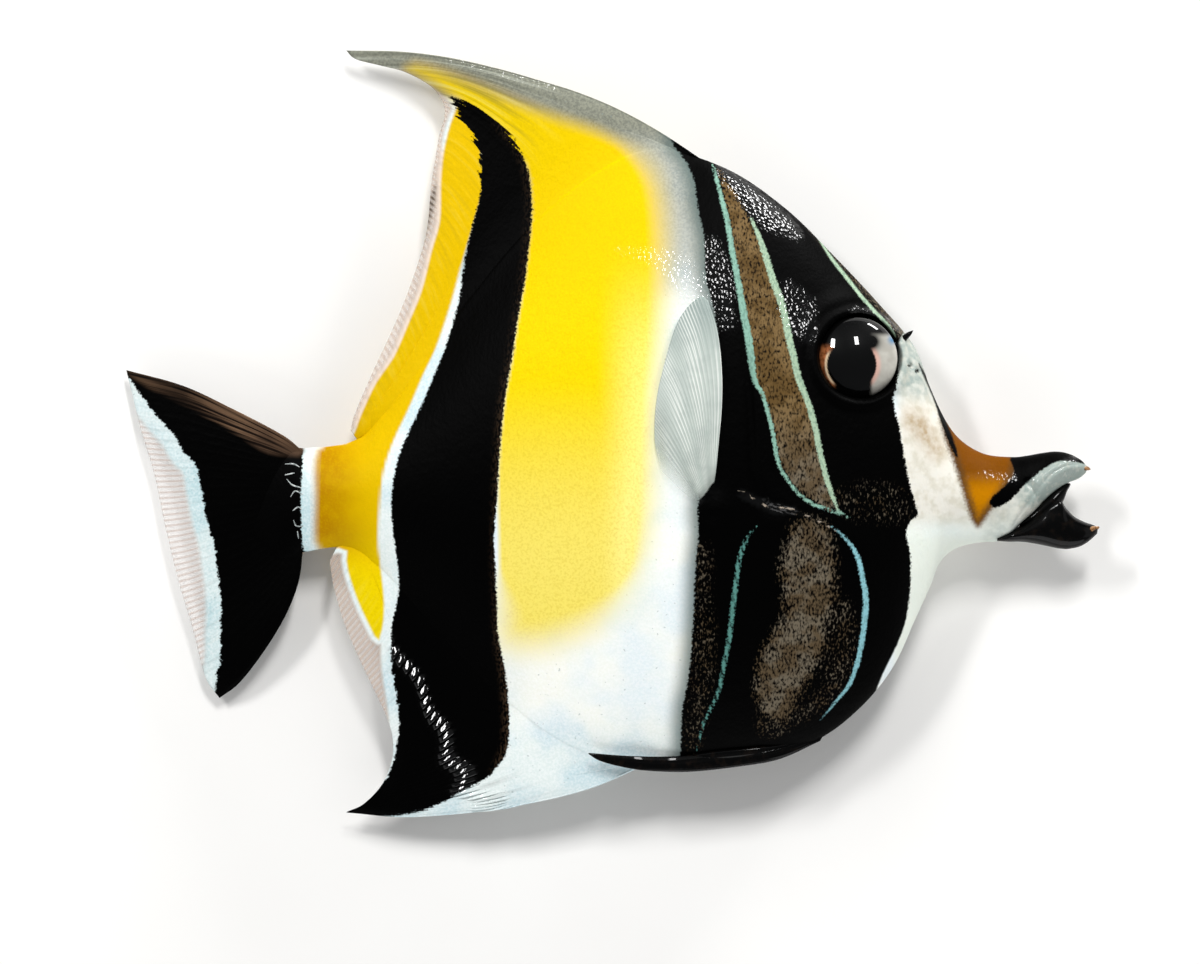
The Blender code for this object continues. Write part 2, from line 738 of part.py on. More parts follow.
def build_jaws():
    """Open jaws on a short tube, with thick lips and a few worn teeth at the tips."""
    upper = loft("upper_jaw", jaw_rows([
        (40.55, -2.5, 39.7, -9.9, 2.15), (41.8, -2.4, 41.0, -9.2, 2.2),
        (43.2, -2.1, 42.4, -8.2, 2.1), (44.7, -1.9, 43.9, -6.5, 1.9),
        (46.0, -2.1, 45.4, -5.3, 1.6), (47.0, -2.7, 46.6, -4.8, 1.25),
        (47.6, -3.3, 47.3, -4.4, 0.8)]))
    lower = loft("lower_jaw", jaw_rows([
        (39.75, -10.3, 39.65, -10.9, 1.5), (41.4, -9.7, 41.6, -10.95, 1.8),
        (42.9, -8.6, 43.4, -11.2, 1.9), (44.2, -7.3, 44.6, -11.6, 1.75),
        (45.3, -6.9, 45.6, -11.75, 1.6), (46.3, -8.3, 46.7, -11.6, 1.4),
        (47.6, -9.0, 47.6, -11.2, 1.1), (48.5, -9.5, 48.3, -10.6, 0.7)]))
    upper_extra = []
    lower_extra = []
    level = float(midplane_height(46.0))
    for side in (-1.0, 1.0):
        lip = [(41.4, -8.2, level + side * 1.55), (43.0, -6.5, level + side * 1.6),
               (44.6, -4.9, level + side * 1.5), (46.2, -4.0, level + side * 1.0),
               (47.0, -3.8, level + side * 0.4)]
        upper_extra.append(tube("upper_lip", lip, 0.75))
        low_lip = [(43.8, -8.5, level + side * 1.25), (45.4, -8.9, level + side * 1.25),
                   (46.8, -9.3, level + side * 0.95), (48.0, -9.9, level + side * 0.35)]
        lower_extra.append(tube("lower_lip", low_lip, 0.55))
    for number in range(5):
        across = 0.36 * (number - 2)
        upper_extra.append(spike("tooth", (46.7, -3.9, level + across),
                                 (47.9, -4.5 - 0.1 * abs(across), level + across * 1.15),
                                 0.2, 0.08, 5))
        lower_extra.append(spike("tooth", (47.6, -9.9, level + across),
                                 (48.8, -9.3 - 0.1 * abs(across), level + across * 1.15),
                                 0.2, 0.08, 5))
    combine(upper, upper_extra, "UNION")
    combine(lower, lower_extra, "UNION")
    return upper, lower


def build_nostrils(head, tree):
    """Two small pits before each eye."""
    pits = []
    for number, (x, y) in enumerate(((30.2, 6.1), (30.9, 4.9))):
        top = height_over(tree, x, y, 0.0)
        middle = float(midplane_height(x))
        for sign in (1.0, -1.0):
            level = middle + sign * (top - middle)
            place = Matrix.Translation((x * MM, y * MM, level * MM))
            pits.append(ellipsoid("pit_%d" % number, place, 0.32, 0.42, 10, 6))
    return combine(head, pits, "DIFFERENCE")


def build():
    whole = loft("whole_body", body_rows(0.45))
    tree = surface_tree(whole)
    flesh = build_flesh()
    right_eye, left_eye = build_eyes(flesh["head"], tree)
    build_nostrils(flesh["head"], tree)
    upper_jaw, lower_jaw = build_jaws()
    dorsal = build_dorsal_fin()
    anal = build_anal_fin()
    caudal = build_caudal_fin()
    right_pectoral, left_pectoral = build_pectoral_fins(tree)
    right_pelvic, left_pelvic = build_pelvic_fins(tree)
    bpy.data.objects.remove(whole, do_unlink=True)

    colour(flesh["head"], "#141416", 0.3)
    colour(flesh["snout"], "#dfe3e0", 0.3)
    colour(flesh["torso"], "#e8cf2a", 0.35)
    colour(flesh["tail_peduncle"], "#d8c022", 0.35)
    colour(upper_jaw, "#cfd6d6", 0.25)
    colour(lower_jaw, "#101012", 0.25)
    colour(right_eye, "#0b0a0a", 0.08)
    colour(left_eye, "#0b0a0a", 0.08)
    colour(dorsal, "#d9c64a", 0.4)
    colour(anal, "#1a1a1c", 0.4)
    colour(caudal, "#17171a", 0.4)
    colour(right_pectoral, "#c9cfd0", 0.4)
    colour(left_pectoral, "#c9cfd0", 0.4)
    colour(right_pelvic, "#121214", 0.4)
    colour(left_pelvic, "#121214", 0.4)


build()
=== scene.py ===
"""Looks of a moorish idol, life size, that lies on its left flank.

+X points to the head, +Y to the dorsal side and +Z up, out of the right flank. Shapes are worked
out in millimetres and become metres when a mesh is made.
"""
import math
from functools import partial

import bpy
import numpy as np
from mathutils import Matrix, Vector


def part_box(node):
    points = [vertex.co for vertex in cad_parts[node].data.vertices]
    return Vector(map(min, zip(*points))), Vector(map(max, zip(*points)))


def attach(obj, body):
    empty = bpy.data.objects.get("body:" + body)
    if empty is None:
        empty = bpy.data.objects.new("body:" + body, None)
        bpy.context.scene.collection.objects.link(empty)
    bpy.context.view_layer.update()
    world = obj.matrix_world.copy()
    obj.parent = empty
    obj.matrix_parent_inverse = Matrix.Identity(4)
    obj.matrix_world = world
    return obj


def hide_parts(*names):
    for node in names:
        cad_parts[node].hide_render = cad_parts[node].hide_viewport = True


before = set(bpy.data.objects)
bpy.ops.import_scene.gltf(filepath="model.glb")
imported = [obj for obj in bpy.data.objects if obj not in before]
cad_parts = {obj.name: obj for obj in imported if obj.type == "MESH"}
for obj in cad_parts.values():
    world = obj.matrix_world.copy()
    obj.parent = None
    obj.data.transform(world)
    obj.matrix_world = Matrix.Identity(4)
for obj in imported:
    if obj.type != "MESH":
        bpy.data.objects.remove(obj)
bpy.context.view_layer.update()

MM = 0.001
MIDPLANE = 6
TAIL_SAG = 1.7
SNOUT_SAG = 0.5
FLANK_EASE = 0.4
EYE_CENTRE = (24.75, 7.4)
EYE_RADIUS = 4.1
EYE_DEPTH = 1.72
PUPIL_CENTRE = (23.9, 6.6)
RAY_HEIGHT = 0.014
SKIN_RINGS = 384
RING_STEPS = 164
TEETH = 7
FLOOR_REACH = 3

# The camera looks straight down on this place, from this far above the fish's middle plane
VIEW_CENTRE = (-1, -5)
VIEW_DISTANCE = 500
VIEW_WIDTH = 120
SENSOR_WIDTH = 36

# Lamps: the name, the place, the width, the height and the power
LAMPS = [
    ("key", (0.1, 0.42, 0.52), 0.08, 0.2, 2.6),
    ("side_key", (-0.36, 0.37, 0.5), 0.06, 0.18, 2.2),
    ("brow_light", (0.39, 0.62, 0.13), 0.1, 0.2, 4.2),
    ("left_fill", (-0.75, -0.1, 0.3), 0.6, 0.8, 1),
    ("right_fill", (0.75, -0.05, 0.3), 0.6, 0.8, 1),
    ("near_fill", (0.1, -0.8, 0.3), 1.2, 0.5, 4.5),
]

# Ribs of the body from the lip to the root of the tail fin: dorsal x and y, ventral x and y,
# half of the width, and how much fuller the dorsal half of the section is than the ventral one
RIBS = [
    (47.75, -3.5, 47.6, -4.1, 0.4, 0), (47.2, -2.85, 46.9, -4.65, 1.05, 0),
    (46, -2.2, 45.5, -5.25, 1.55, 0), (44.7, -1.95, 43.9, -6.5, 1.85, 0),
    (43.2, -2.1, 42.4, -8.1, 2.05, 0), (41.8, -2.35, 41, -9.3, 2.15, 0.03),
    (40.2, -2.5, 39.3, -10.8, 2.2, 0.05), (37.5, -2.2, 36.5, -11.1, 2.6, 0.08),
    (35.2, -0.9, 34.3, -11.8, 3.1, 0.12), (33.6, 1.1, 32.9, -13.2, 3.4, 0.16),
    (32, 4.5, 32, -15.5, 3.9, 0.18), (30.4, 8.6, 30.5, -18.8, 4.5, 0.2),
    (27, 12.7, 28.3, -23.5, 5.3, 0.2), (22.5, 17.5, 25, -27.6, 6.2, 0.14),
    (17.5, 22.4, 20.5, -30.9, 6.9, 0.08), (11.5, 26.4, 14.5, -32.6, 7.2, 0.05),
    (4.5, 28.2, 7.5, -33.3, 7.2, 0.02), (-1.5, 25.8, 0.5, -33, 6.8, 0),
    (-7.5, 20.9, -6, -30.2, 6, 0), (-13, 14.6, -12.5, -24.8, 4.9, 0),
    (-18.5, 7, -18.5, -18.2, 3.8, 0), (-22.5, 1.9, -23, -13.6, 3, 0),
    (-25.8, -0.9, -26.3, -11.6, 2.4, 0), (-30.5, -1.6, -30.5, -12, 1.5, 0),
    (-32, -1.4, -32, -12.6, 1.05, 0), (-33.6, -2.4, -33.6, -12.4, 0.6, 0),
    (-34.9, -4, -34.9, -11.2, 0.22, 0), (-35.8, -5.6, -35.8, -9.6, 0.05, 0)]

# Edge of the gill cover, closed round the head
GILL_COVER = [
    (13, 16), (13.6, 8), (14.1, 2), (14.3, -3), (14.6, -6.4), (16.4, -7.8), (19.5, -8.4),
    (22.5, -9.9), (25.5, -12.3), (28, -15.5), (30.5, -19.5), (45, -19.5), (45, 16)]

# Outlines of the markings on the flank
REAR_BLACK = [
    (-16, 33.5), (-14, 32.7), (-12, 31.4), (-10.5, 30.2), (-9, 28.2), (-8.2, 26.2), (-7.9, 24.2),
    (-7.8, 22.2), (-8, 19.2), (-8.5, 15.2), (-9.2, 11.2), (-9.8, 7.2), (-10.5, 3.2), (-11, -1.8),
    (-11.3, -6.8), (-11.6, -10.8), (-11.5, -12.8), (-11.3, -17), (-11.2, -20.2), (-10.5, -23.7),
    (-10.1, -27.5), (-10.1, -30.7), (-10.5, -32.4), (-11.2, -33.4), (-12.4, -34.7), (-14.5, -35.8),
    (-16.2, -36.8), (-18.5, -37.8), (-21, -38.3), (-24.2, -38.6), (-26.6, -38.1), (-25.3, -37.2),
    (-23.6, -35.9), (-22.3, -34.5), (-21.5, -32.4), (-21.3, -30.9), (-21.1, -29.2), (-21.3, -27.1),
    (-21.7, -24.6), (-21.9, -22.7), (-21.9, -21.2), (-21.9, -19.8), (-21.5, -17.8), (-21.1, -15.5),
    (-21.3, -12.8), (-21.6, -10.8), (-21.9, -7.8), (-21.8, -5.8), (-21.5, -3.8), (-21, -2),
    (-20.4, -0.6), (-19, 2.4), (-17.8, 5.2), (-16.4, 8.7), (-15.1, 13.2), (-14.7, 16.2),
    (-14, 19.7), (-13.2, 22.7), (-12.9, 25.2), (-13.4, 28.2), (-14.8, 31.2)]
FRONT_BLACK = [
    (6.2, 30.4), (6.2, 28.9), (7.5, 27.2), (8.4, 25.2), (8.8, 22.2), (9.4, 19.6), (9.6, 15.2),
    (10.2, 13.2), (10.7, 10.2), (10.9, 7.2), (10.8, 3.2), (10.2, 0.2), (9.6, -2.8), (9, -5.8),
    (8.7, -8.3), (8.9, -9.8), (8.6, -12.8), (8.4, -16.8), (8.2, -20.8), (7.8, -24.8), (7.2, -27.8),
    (7.1, -31.6), (6.9, -36), (15, -36), (20, -34), (23.4, -31.6), (25.4, -29.4), (26.2, -27.2),
    (27.1, -24.6), (28.7, -21.3), (29.6, -18.8), (30, -15.8), (30.1, -12.5), (29.7, -10.8),
    (29.8, -9), (30.7, -8.8), (30.8, -8), (30, -5.3), (29.5, -2.8), (29, 0.2), (28.3, 3.2),
    (28.7, 4.7), (28.9, 7.2), (28.8, 9.2), (29.6, 10.7), (27, 15.2), (24, 18.7), (19, 23.2),
    (13, 27.7), (8, 30.4)]
TAIL_BLACK = [
    (-30.7, -1.5), (-31, -0.4), (-34, 1.4), (-37, 2.9), (-41, 4.8), (-45, 6.5), (-49.2, 7),
    (-48.1, 5.4), (-46.6, 3.3), (-45, 1.2), (-43.4, -0.6), (-42.7, -2), (-41.4, -3.4),
    (-40.9, -5.7), (-40.4, -8.4), (-39.7, -10.9), (-39.3, -13.5), (-39, -15.8), (-38.9, -18.1),
    (-39, -20.3), (-39, -22.6), (-39.4, -24.9), (-39.4, -27.4), (-37, -26.8), (-34.4, -23.2),
    (-32.8, -20.8), (-31.4, -18), (-30.7, -15.8), (-30.2, -14), (-29.9, -12.3), (-30.7, -11.6),
    (-30.9, -6.8)]
SNOUT_BLACK = [
    (40, -2.8), (40.5, -1.8), (42.5, -1.3), (45, -1), (46.5, -1.2), (48, -2.6), (47.6, -3.2),
    (47, -3.1), (45, -2.9), (43.5, -3.6), (42, -4.8), (41, -5.8), (39.8, -7), (38.3, -7.6),
    (38, -6.8), (39, -5.8), (40.2, -4.6), (40.4, -3.8)]
ORANGE_SADDLE = [
    (33.2, 1.8), (35, 0.7), (36.5, -0.6), (38.5, -1.5), (40.2, -2), (40.4, -3.6), (39.8, -5),
    (38.5, -6.8), (37.4, -8.3), (36.7, -9.2), (36, -7.3), (35.3, -5), (34.5, -2.6), (33.7, -0.4)]
FRONT_YELLOW = [
    (-9.6, 27.6), (-11.8, 30), (-14.2, 32), (-17.4, 34.6), (-20.4, 36.5), (-18.6, 36.5),
    (-15.4, 35.5), (-12, 34.2), (-9, 32.9), (-5, 31.4), (-1, 30), (2, 28.2), (4.2, 25.4),
    (5.2, 21.2), (5.4, 15.2), (5.2, 9.2), (4.6, 3.2), (4.4, -2.8), (4, -8.8), (3, -13.4),
    (0.6, -17.2), (-2.5, -19.8), (-7, -21.4), (-10.6, -20.8), (-11, -16.8), (-11.1, -10.8),
    (-11.2, -6.8), (-11.1, -1.8), (-10.6, 3.2), (-9.9, 7.2), (-9.3, 11.2), (-8.6, 15.2),
    (-8.1, 19.2), (-7.9, 22.2), (-8, 24.4), (-8.3, 26.4)]
REAR_YELLOW = [
    (-14.7, 33.6), (-15.2, 32.8), (-16, 30.7), (-16.6, 28.2), (-16.9, 25.2), (-17, 21.2),
    (-17.8, 18.2), (-18.8, 14.2), (-20, 11.2), (-21.5, 7.7), (-22.5, 6.2), (-23.5, 4.7),
    (-24.8, 1.9), (-25.7, -0.4), (-26.5, -1.2), (-29.3, -1.8), (-29.5, -6.8), (-29.3, -11.6),
    (-26.5, -11.6), (-26.3, -13.5), (-25.2, -16.9), (-23.6, -20.3), (-23.2, -21), (-22.7, -19.3),
    (-22.6, -16.8), (-22.9, -13.8), (-23.2, -10.8), (-23, -6.8), (-22.6, -3.8), (-21.6, -0.8),
    (-20.1, 2.4), (-18.7, 5.7), (-17.3, 8.7), (-15.8, 13.2), (-14.8, 17), (-13.8, 20.4),
    (-13, 23.2), (-12.6, 25.4), (-13, 28.2), (-14, 32.2)]
NAPE_BROWN = [
    (10.6, 26.7), (11.7, 21.2), (12.8, 15.2), (13.8, 9.2), (14.6, 4.7), (15.7, 2.3), (16.5, -1.4),
    (17.5, -4.4), (20, -6.8), (22.8, -8), (22.2, -6.3), (21, -1.8), (19.8, 3.4), (18.5, 6.7),
    (17.7, 11.2), (16.5, 15.2), (14.3, 20.7), (12.5, 24.2)]
TAIL_DRAB = [
    (-49.2, 7), (-45, 6.5), (-41, 4.8), (-37, 2.9), (-34, 1.4), (-31, -0.4), (-30.5, -1.5),
    (-30.7, -2.4), (-32, -2.4), (-34.5, -2), (-37, -0.4), (-40.2, 1.4), (-44, 3.4), (-46, 4.3),
    (-48.2, 5.8)]

# Brown patches on the black of the head and the breast: how strong each is, and its outline
BROWN_PATCHES = [
    (0.8, [(18, 23.7), (21, 19.5), (22.5, 17.5), (24, 15.7), (25.5, 13.9), (27, 12.2), (28, 11),
           (28.7, 9.7), (30.5, 10.2), (28, 14.2), (24, 19.2), (20, 23.7)]),
    (0.66, [(18.4, -8.6), (21, -8.7), (22.2, -10.3), (22.6, -13.3), (22.4, -16.6), (21.9, -19.6),
            (19.2, -20.4), (17.6, -18.6), (17.2, -15.5), (17, -12.8), (17.8, -10.3)]),
    (0.72, [(17.6, -18), (20, -16.6), (21.8, -18.3), (21.4, -22), (20.2, -24.3), (18.6, -26.8),
            (18, -28.8), (16, -29), (14.7, -26.8), (14.8, -23.3), (16, -20.4)]),
    (0.28, [(22.2, -15.8), (24, -16.8), (24.8, -20.8), (23.5, -25.8), (20, -28.6), (16, -30.6),
            (14.6, -28.8), (20.4, -26.2), (21.6, -21.8)]),
    (0.28, [(8.4, -10.8), (10, -11.3), (10.2, -16.8), (10.6, -20.8), (10.2, -25.8), (9, -31.6),
            (7.6, -31.6), (8, -25.8), (8.3, -20.8), (8.5, -16.8)]),
    (0.18, [(22.4, -5.6), (26, -4.8), (29.5, -5.6), (30.4, -8), (29, -9.2), (25, -9), (23, -8.3)])]

# Painted lines and thin folds of skin: x, y and half of the width
NAPE_LINE = [
    (10.3, 26.7, 0.15), (11.2, 23.2, 0.25), (11.7, 21.2, 0.28), (12.2, 18.2, 0.3),
    (12.8, 15.2, 0.33), (13.3, 12.2, 0.36), (13.7, 10.2, 0.38), (14, 8.4, 0.38), (14.2, 6.7, 0.34),
    (14.5, 5, 0.26), (15.2, 3.9, 0.2), (15.7, 2.3, 0.22), (16.2, 0.4, 0.22), (16.5, -1.4, 0.22),
    (16.8, -3, 0.2), (17.5, -4.4, 0.18), (18.9, -6.2, 0.18), (20.5, -7.3, 0.2), (23, -8.1, 0.18),
    (24, -8.7, 0.06)]
BROW_LINE = [
    (14.1, 21.4, 0.12), (15.2, 18.7, 0.3), (16.2, 15.5, 0.36), (17.2, 12.7, 0.36),
    (17.8, 9.9, 0.38), (18.3, 7.7, 0.36), (18.9, 5.2, 0.34), (19.8, 3, 0.32), (20.5, 0.5, 0.32),
    (21, -2, 0.3), (21.7, -4.8, 0.28), (22.2, -6.3, 0.24), (22.9, -8, 0.1)]
FOREHEAD_LINE = [
    (20.6, 19.7, 0.06), (22.2, 17.3, 0.18), (23.7, 15.4, 0.2), (25.1, 13.6, 0.2),
    (26.6, 11.9, 0.2), (27.7, 10.8, 0.18), (28.6, 9.5, 0.06)]
THROAT_LINE = [
    (21.8, -9.2, 0.06), (23, -10.1, 0.14), (24.1, -11.3, 0.2), (24.8, -12.6, 0.24),
    (25.2, -14.3, 0.28), (25.6, -16.7, 0.3), (25.5, -18.3, 0.3), (25.2, -20.8, 0.28),
    (24.7, -23.2, 0.26), (23.9, -25.3, 0.2), (22.4, -27.2, 0.14), (21, -28.8, 0.04)]
BREAST_LINE = [
    (15, -9.2, 0.06), (14.2, -9.9, 0.16), (13.4, -11.3, 0.22), (12.9, -13, 0.25),
    (12.5, -15.8, 0.26), (12.2, -18.3, 0.26), (11.9, -20.8, 0.25), (11.4, -23.2, 0.23),
    (10.9, -25.8, 0.2), (10, -27.8, 0.18), (9.3, -29.3, 0.16), (8.7, -31.8, 0.08)]
NOSE_SHADE = [
    (30.9, 6.8, 0.06), (31.6, 5.4, 0.16), (32.5, 3.4, 0.2), (33.4, 0.9, 0.26), (34.1, -0.9, 0.28),
    (34.7, -2.4, 0.1)]
# A pale line along the gill cover's fold: partly the skin's own colour, and partly painted
# highlight where the fold glints
GILL_FOLD_LINE_AND_HIGHLIGHT = [
    (12.6, -5.9, 0.02), (13.7, -6.1, 0.06), (14.4, -6.7, 0.08), (15.3, -7.2, 0.08),
    (16.2, -7.8, 0.1), (17.4, -7.5, 0.1), (18.6, -7.9, 0.07), (20, -8.5, 0.07), (21.4, -9.2, 0.07),
    (22.6, -9.9, 0.05)]
LIP_RIDGE = [
    (40, -9.6, 0.25), (41.5, -7.3, 0.3), (42.7, -5.6, 0.3), (44, -4.2, 0.3), (45.4, -3.4, 0.25),
    (46.8, -3.2, 0.2)]
LIP_CREASE = [
    (41.6, -4.9, 0.02), (42.4, -5.8, 0.12), (43, -6.9, 0.03)]

# A darker stretch of the dorsal fin's rear margin: x, y and half of the width
DARK_MARGIN = [
    (-17.3, 24.9, 0.05), (-18, 22.5, 0.35), (-19.1, 19, 0.4), (-20.5, 15.4, 0.3)]

# Where a film of water stands on the skin: x, y and half of the width
WET_PLACES = [
    [(10.9, 26.3, 0.1), (11.7, 25.6, 0.4), (13.4, 24.1, 0.8), (14.9, 22.6, 1), (16.2, 21.4, 1.1),
     (17.9, 20.5, 0.6), (19, 19.6, 0.1)],
    [(17.8, 14.6, 0.4), (18.8, 12.2, 1.6), (19.8, 9.8, 0.6)],
    [(10.2, 18.8, 0.5), (10.9, 15, 1.1), (11.6, 11, 0.6)],
    [(1, 18.1, 0.05), (3, 17.8, 0.15), (6.5, 16.6, 1.1), (8.4, 14.2, 1)],
    [(5.8, -4.4, 0.2), (7.4, -5.6, 0.6), (8.8, -6.8, 0.3)],
    [(35.8, -4.4, 0.05), (38.2, -4.5, 0.25), (40.4, -4.6, 0.05)],
    [(42.6, -5.2, 0.5), (46, -3.4, 0.6)],
    [(13.2, -6.2, 0.1), (16.2, -7.6, 0.3), (18.4, -7.8, 0.1)],
    [(-16, 37.5, 0.2), (-5.6, 34.7, 0.2)]]

# How the knuckles of the anal fin's rays rise along x and y, in millimetres a millimetre
KNUCKLE_LEAN = (0.2585, -0.35)

# Edges of the last scales before the tail fin, which stand a little proud
SCALE_EDGES = [
    [(-32.6, -3.2), (-31.7, -3.2), (-31.1, -3.5)],
    [(-32.6, -4.3), (-31.6, -4.1)],
    [(-32.4, -4.7), (-31.8, -5.3), (-30.8, -5.6)],
    [(-32, -6.5), (-31.5, -5.9), (-30.7, -6.3)],
    [(-31.8, -7.9), (-31.2, -7.5), (-30.8, -7.8)],
    [(-31.7, -8.8), (-31.4, -9.4), (-30.7, -9.4)],
    [(-31.3, -9.9), (-31.2, -10.7)]]

# Rings of the lower jaw with its lip, and of the fold of skin at the corner of the mouth: upper
# x and y, lower x and y, and half of the width
CHIN_RINGS = [
    (38.7, -10.55, 38.7, -10.9, 0.8), (40, -9.9, 40, -10.98, 1.6), (41.3, -9.2, 41.4, -11, 1.85),
    (42.9, -7.8, 43.2, -11.3, 1.9), (44.2, -6.7, 44.6, -11.6, 1.7), (45, -6.5, 45.3, -11.7, 1.6),
    (45.5, -7.4, 45.9, -11.7, 1.5), (46.4, -8.4, 46.9, -11.5, 1.35), (47.5, -9, 47.7, -11.1, 1.1),
    (48.5, -9.35, 48.3, -10.6, 0.7), (48.8, -9.7, 48.75, -10.2, 0.25)]
MOUTH_RINGS = [
    (40.9, -9, 41, -9.5, 0.9), (42.4, -7.6, 42.9, -8.9, 1.35), (43.9, -6.2, 44.5, -7.7, 1.3),
    (45.2, -5.3, 45.3, -7, 1), (45.9, -5.1, 45.7, -6, 0.6), (46.1, -5.2, 46, -5.5, 0.2)]


# Plane curves

def ease(low, high, value):
    t = np.clip((value - low) / (high - low), 0, 1)
    return t * t * (3 - 2 * t)


def within(*ramps):
    """The product of eased steps: of each, the value, where it starts and where it is whole."""
    return math.prod(ease(low, high, value) for value, low, high in ramps)


def lengths(curve):
    """How far along a polyline each of its points lies."""
    return np.concatenate([[0], np.cumsum(np.linalg.norm(np.diff(curve, axis=0), axis=1))])


def at(curve, share):
    """Places on a polyline at shares of its length."""
    length = lengths(curve)
    wanted = np.clip(share, 0, 1) * length[-1]
    return np.stack([np.interp(wanted, length, column) for column in curve.T], axis=-1)


def smooth_line(points, count=300):
    """A Catmull-Rom curve: between two knots a cubic whose slopes are half the chords of the
    knots on either side, taken at even steps of its length."""
    knots = np.array(points, dtype=float)
    ends = np.vstack([2 * knots[0] - knots[1], knots, 2 * knots[-1] - knots[-2]])
    t = np.linspace(0, len(knots) - 1, 24 * (len(knots) - 1) + 1)
    k = np.minimum(t.astype(int), len(knots) - 2)
    t = (t - k)[:, None]
    a, b, c, d = ends[k], ends[k + 1], ends[k + 2], ends[k + 3]
    curve = 0.5 * (2 * b + (c - a) * t + (2 * a - 5 * b + 4 * c - d) * t ** 2
                   + (3 * b - a - 3 * c + d) * t ** 3)
    return at(curve, np.linspace(0, 1, count))


def nearest_on(ax, ay, bx, by, x, y):
    """The nearest place on a side: its share of the side, and how far away it is."""
    ex, ey = bx - ax, by - ay
    t = np.clip(((x - ax) * ex + (y - ay) * ey) / (ex * ex + ey * ey + 1e-12), 0, 1)
    return t, np.hypot(x - ax - t * ex, y - ay - t * ey)


def depth_inside(outline, x, y):
    """How far each place lies inside a closed outline, and less than nothing outside it: the
    distance to the nearest side, with its sign from how many sides a ray crosses."""
    corners = smooth_line(outline + outline[:1], 3 * len(outline))[:-1]
    nearest = np.full(x.shape, 1e9)
    inside = np.zeros(x.shape, dtype=bool)
    for (ax, ay), (bx, by) in zip(corners, np.roll(corners, -1, axis=0)):
        nearest = np.minimum(nearest, nearest_on(ax, ay, bx, by, x, y)[1])
        if abs(by - ay) > 1e-9:
            inside ^= ((ay > y) != (by > y)) & (x < ax + (y - ay) * (bx - ax) / (by - ay))
    return np.where(inside, nearest, -nearest)


def depth_in_line(line, x, y):
    """How far each place lies inside a painted line whose half width changes along it."""
    knots = smooth_line(line, 4 * len(line))
    depth = np.full(x.shape, -1e9)
    for (ax, ay, aw), (bx, by, bw) in zip(knots[:-1], knots[1:]):
        t, away = nearest_on(ax, ay, bx, by, x, y)
        depth = np.maximum(depth, aw + t * (bw - aw) - away)
    return depth


# The body's section

def midplane_height(x):
    """The height of the fish's middle plane: the tail and the snout sag towards the floor."""
    tail = np.clip(-x / 31, 0, 1.6)
    snout = np.clip((x - 20) / 28, 0, 1)
    return MIDPLANE - TAIL_SAG * tail ** 1.6 - SNOUT_SAG * snout ** 2


def section_share(sine, x):
    """The half width round a section as a share: a lens where fins rise from the keels, fuller
    flanks on the head, and a rounder tube on the snout."""
    lens = sine ** 2
    full = 0.55 * sine ** 1.6 + 0.45 * sine
    body = full + 0.75 * (lens - full) * ease(13, 5, x)
    return body + (sine ** 0.85 - body) * ease(37, 42, x)


def pressed(half_width, room):
    """A flank pressed flat: it eases into the floor, which is `room` below the middle plane."""
    start = room - FLANK_EASE
    over = np.clip(half_width - start, 0, 2 * FLANK_EASE)
    return np.minimum(half_width, start + 2 * FLANK_EASE) - over ** 2 / (4 * FLANK_EASE)


def bump(x, y, centre, size):
    """A round bump, as high as one in the middle."""
    return np.exp(-((x - centre[0]) ** 2 + (y - centre[1]) ** 2) / size ** 2)


def relief(x, y, sine):
    """What stands out of the flank's plain form: the gill cover's edge, the eye's socket and its
    rim, the nostrils, the lip and the corner of the mouth, and the pad of the pectoral fin."""
    cover = depth_inside(GILL_COVER, x, y)
    eye = np.hypot(x - EYE_CENTRE[0], y - EYE_CENTRE[1])
    lip = -depth_in_line(LIP_RIDGE, x, y)
    crease = -depth_in_line(LIP_CREASE, x, y)
    rise = (0.42 * ease(-0.3, 0.35, cover) * np.exp(-(cover / 4.5) ** 2)
            - 0.16 * np.exp(-((cover + 0.3) / 0.4) ** 2))
    rise *= within((y, 11, 5), (sine, 0, 0.5), (x, 26, 20))
    rise += -2.2 * (1 - ease(3.75, 4.35, eye)) + 0.38 * np.exp(-((eye - 4.65) / 0.45) ** 2)
    rise += 0.25 * np.exp(-((eye - 6) / 0.8) ** 2) * ease(-2, 2, y - EYE_CENTRE[1])
    rise += -0.5 * bump(x, y, (30.7, 6.1), 0.22) - 0.5 * bump(x, y, (29.9, 6.6), 0.2)
    rise += 0.34 * np.exp(-(lip / 0.55) ** 2) * ease(0.1, 0.5, sine)
    rise += -0.3 * np.exp(-(crease / 0.22) ** 2)
    return rise + 0.45 * bump(x, y, (10.3, -7.6), 1.5)


SPINE = smooth_line(RIBS, 2400)


def flank_rise(x, y, with_relief=False):
    """How far the right flank stands over the middle plane at places in the plan. The rib through
    each place is found by halving the spine, and the place's angle round the section from how
    far along the rib it lies."""
    low = np.zeros(x.shape)
    high = np.ones(x.shape)
    for _ in range(24):
        middle = 0.5 * (low + high)
        dx, dy, vx, vy, width, fullness = np.moveaxis(at(SPINE, middle), -1, 0)
        ahead = (vx - dx) * (y - dy) - (vy - dy) * (x - dx) > 0
        high = np.where(ahead, middle, high)
        low = np.where(ahead, low, middle)
    along = (x - dx) * (vx - dx) + (y - dy) * (vy - dy)
    cosine = 1 - 2 * np.clip(along / ((vx - dx) ** 2 + (vy - dy) ** 2), 0, 1)
    sine = np.sqrt(1 - cosine ** 2)
    half = width * section_share(sine, x) * (1 + fullness * cosine)
    return half + relief(x, y, sine) if with_relief else half


# Fins: patches between a root line, a margin, a front and a back edge

def keel_line(side, x_from, x_to):
    """The dorsal or the ventral keel between two places, from the head backwards."""
    keel = SPINE[:, 0:2] if side > 0 else SPINE[:, 2:4]
    return keel[(keel[:, 0] <= x_from) & (keel[:, 0] >= x_to)]


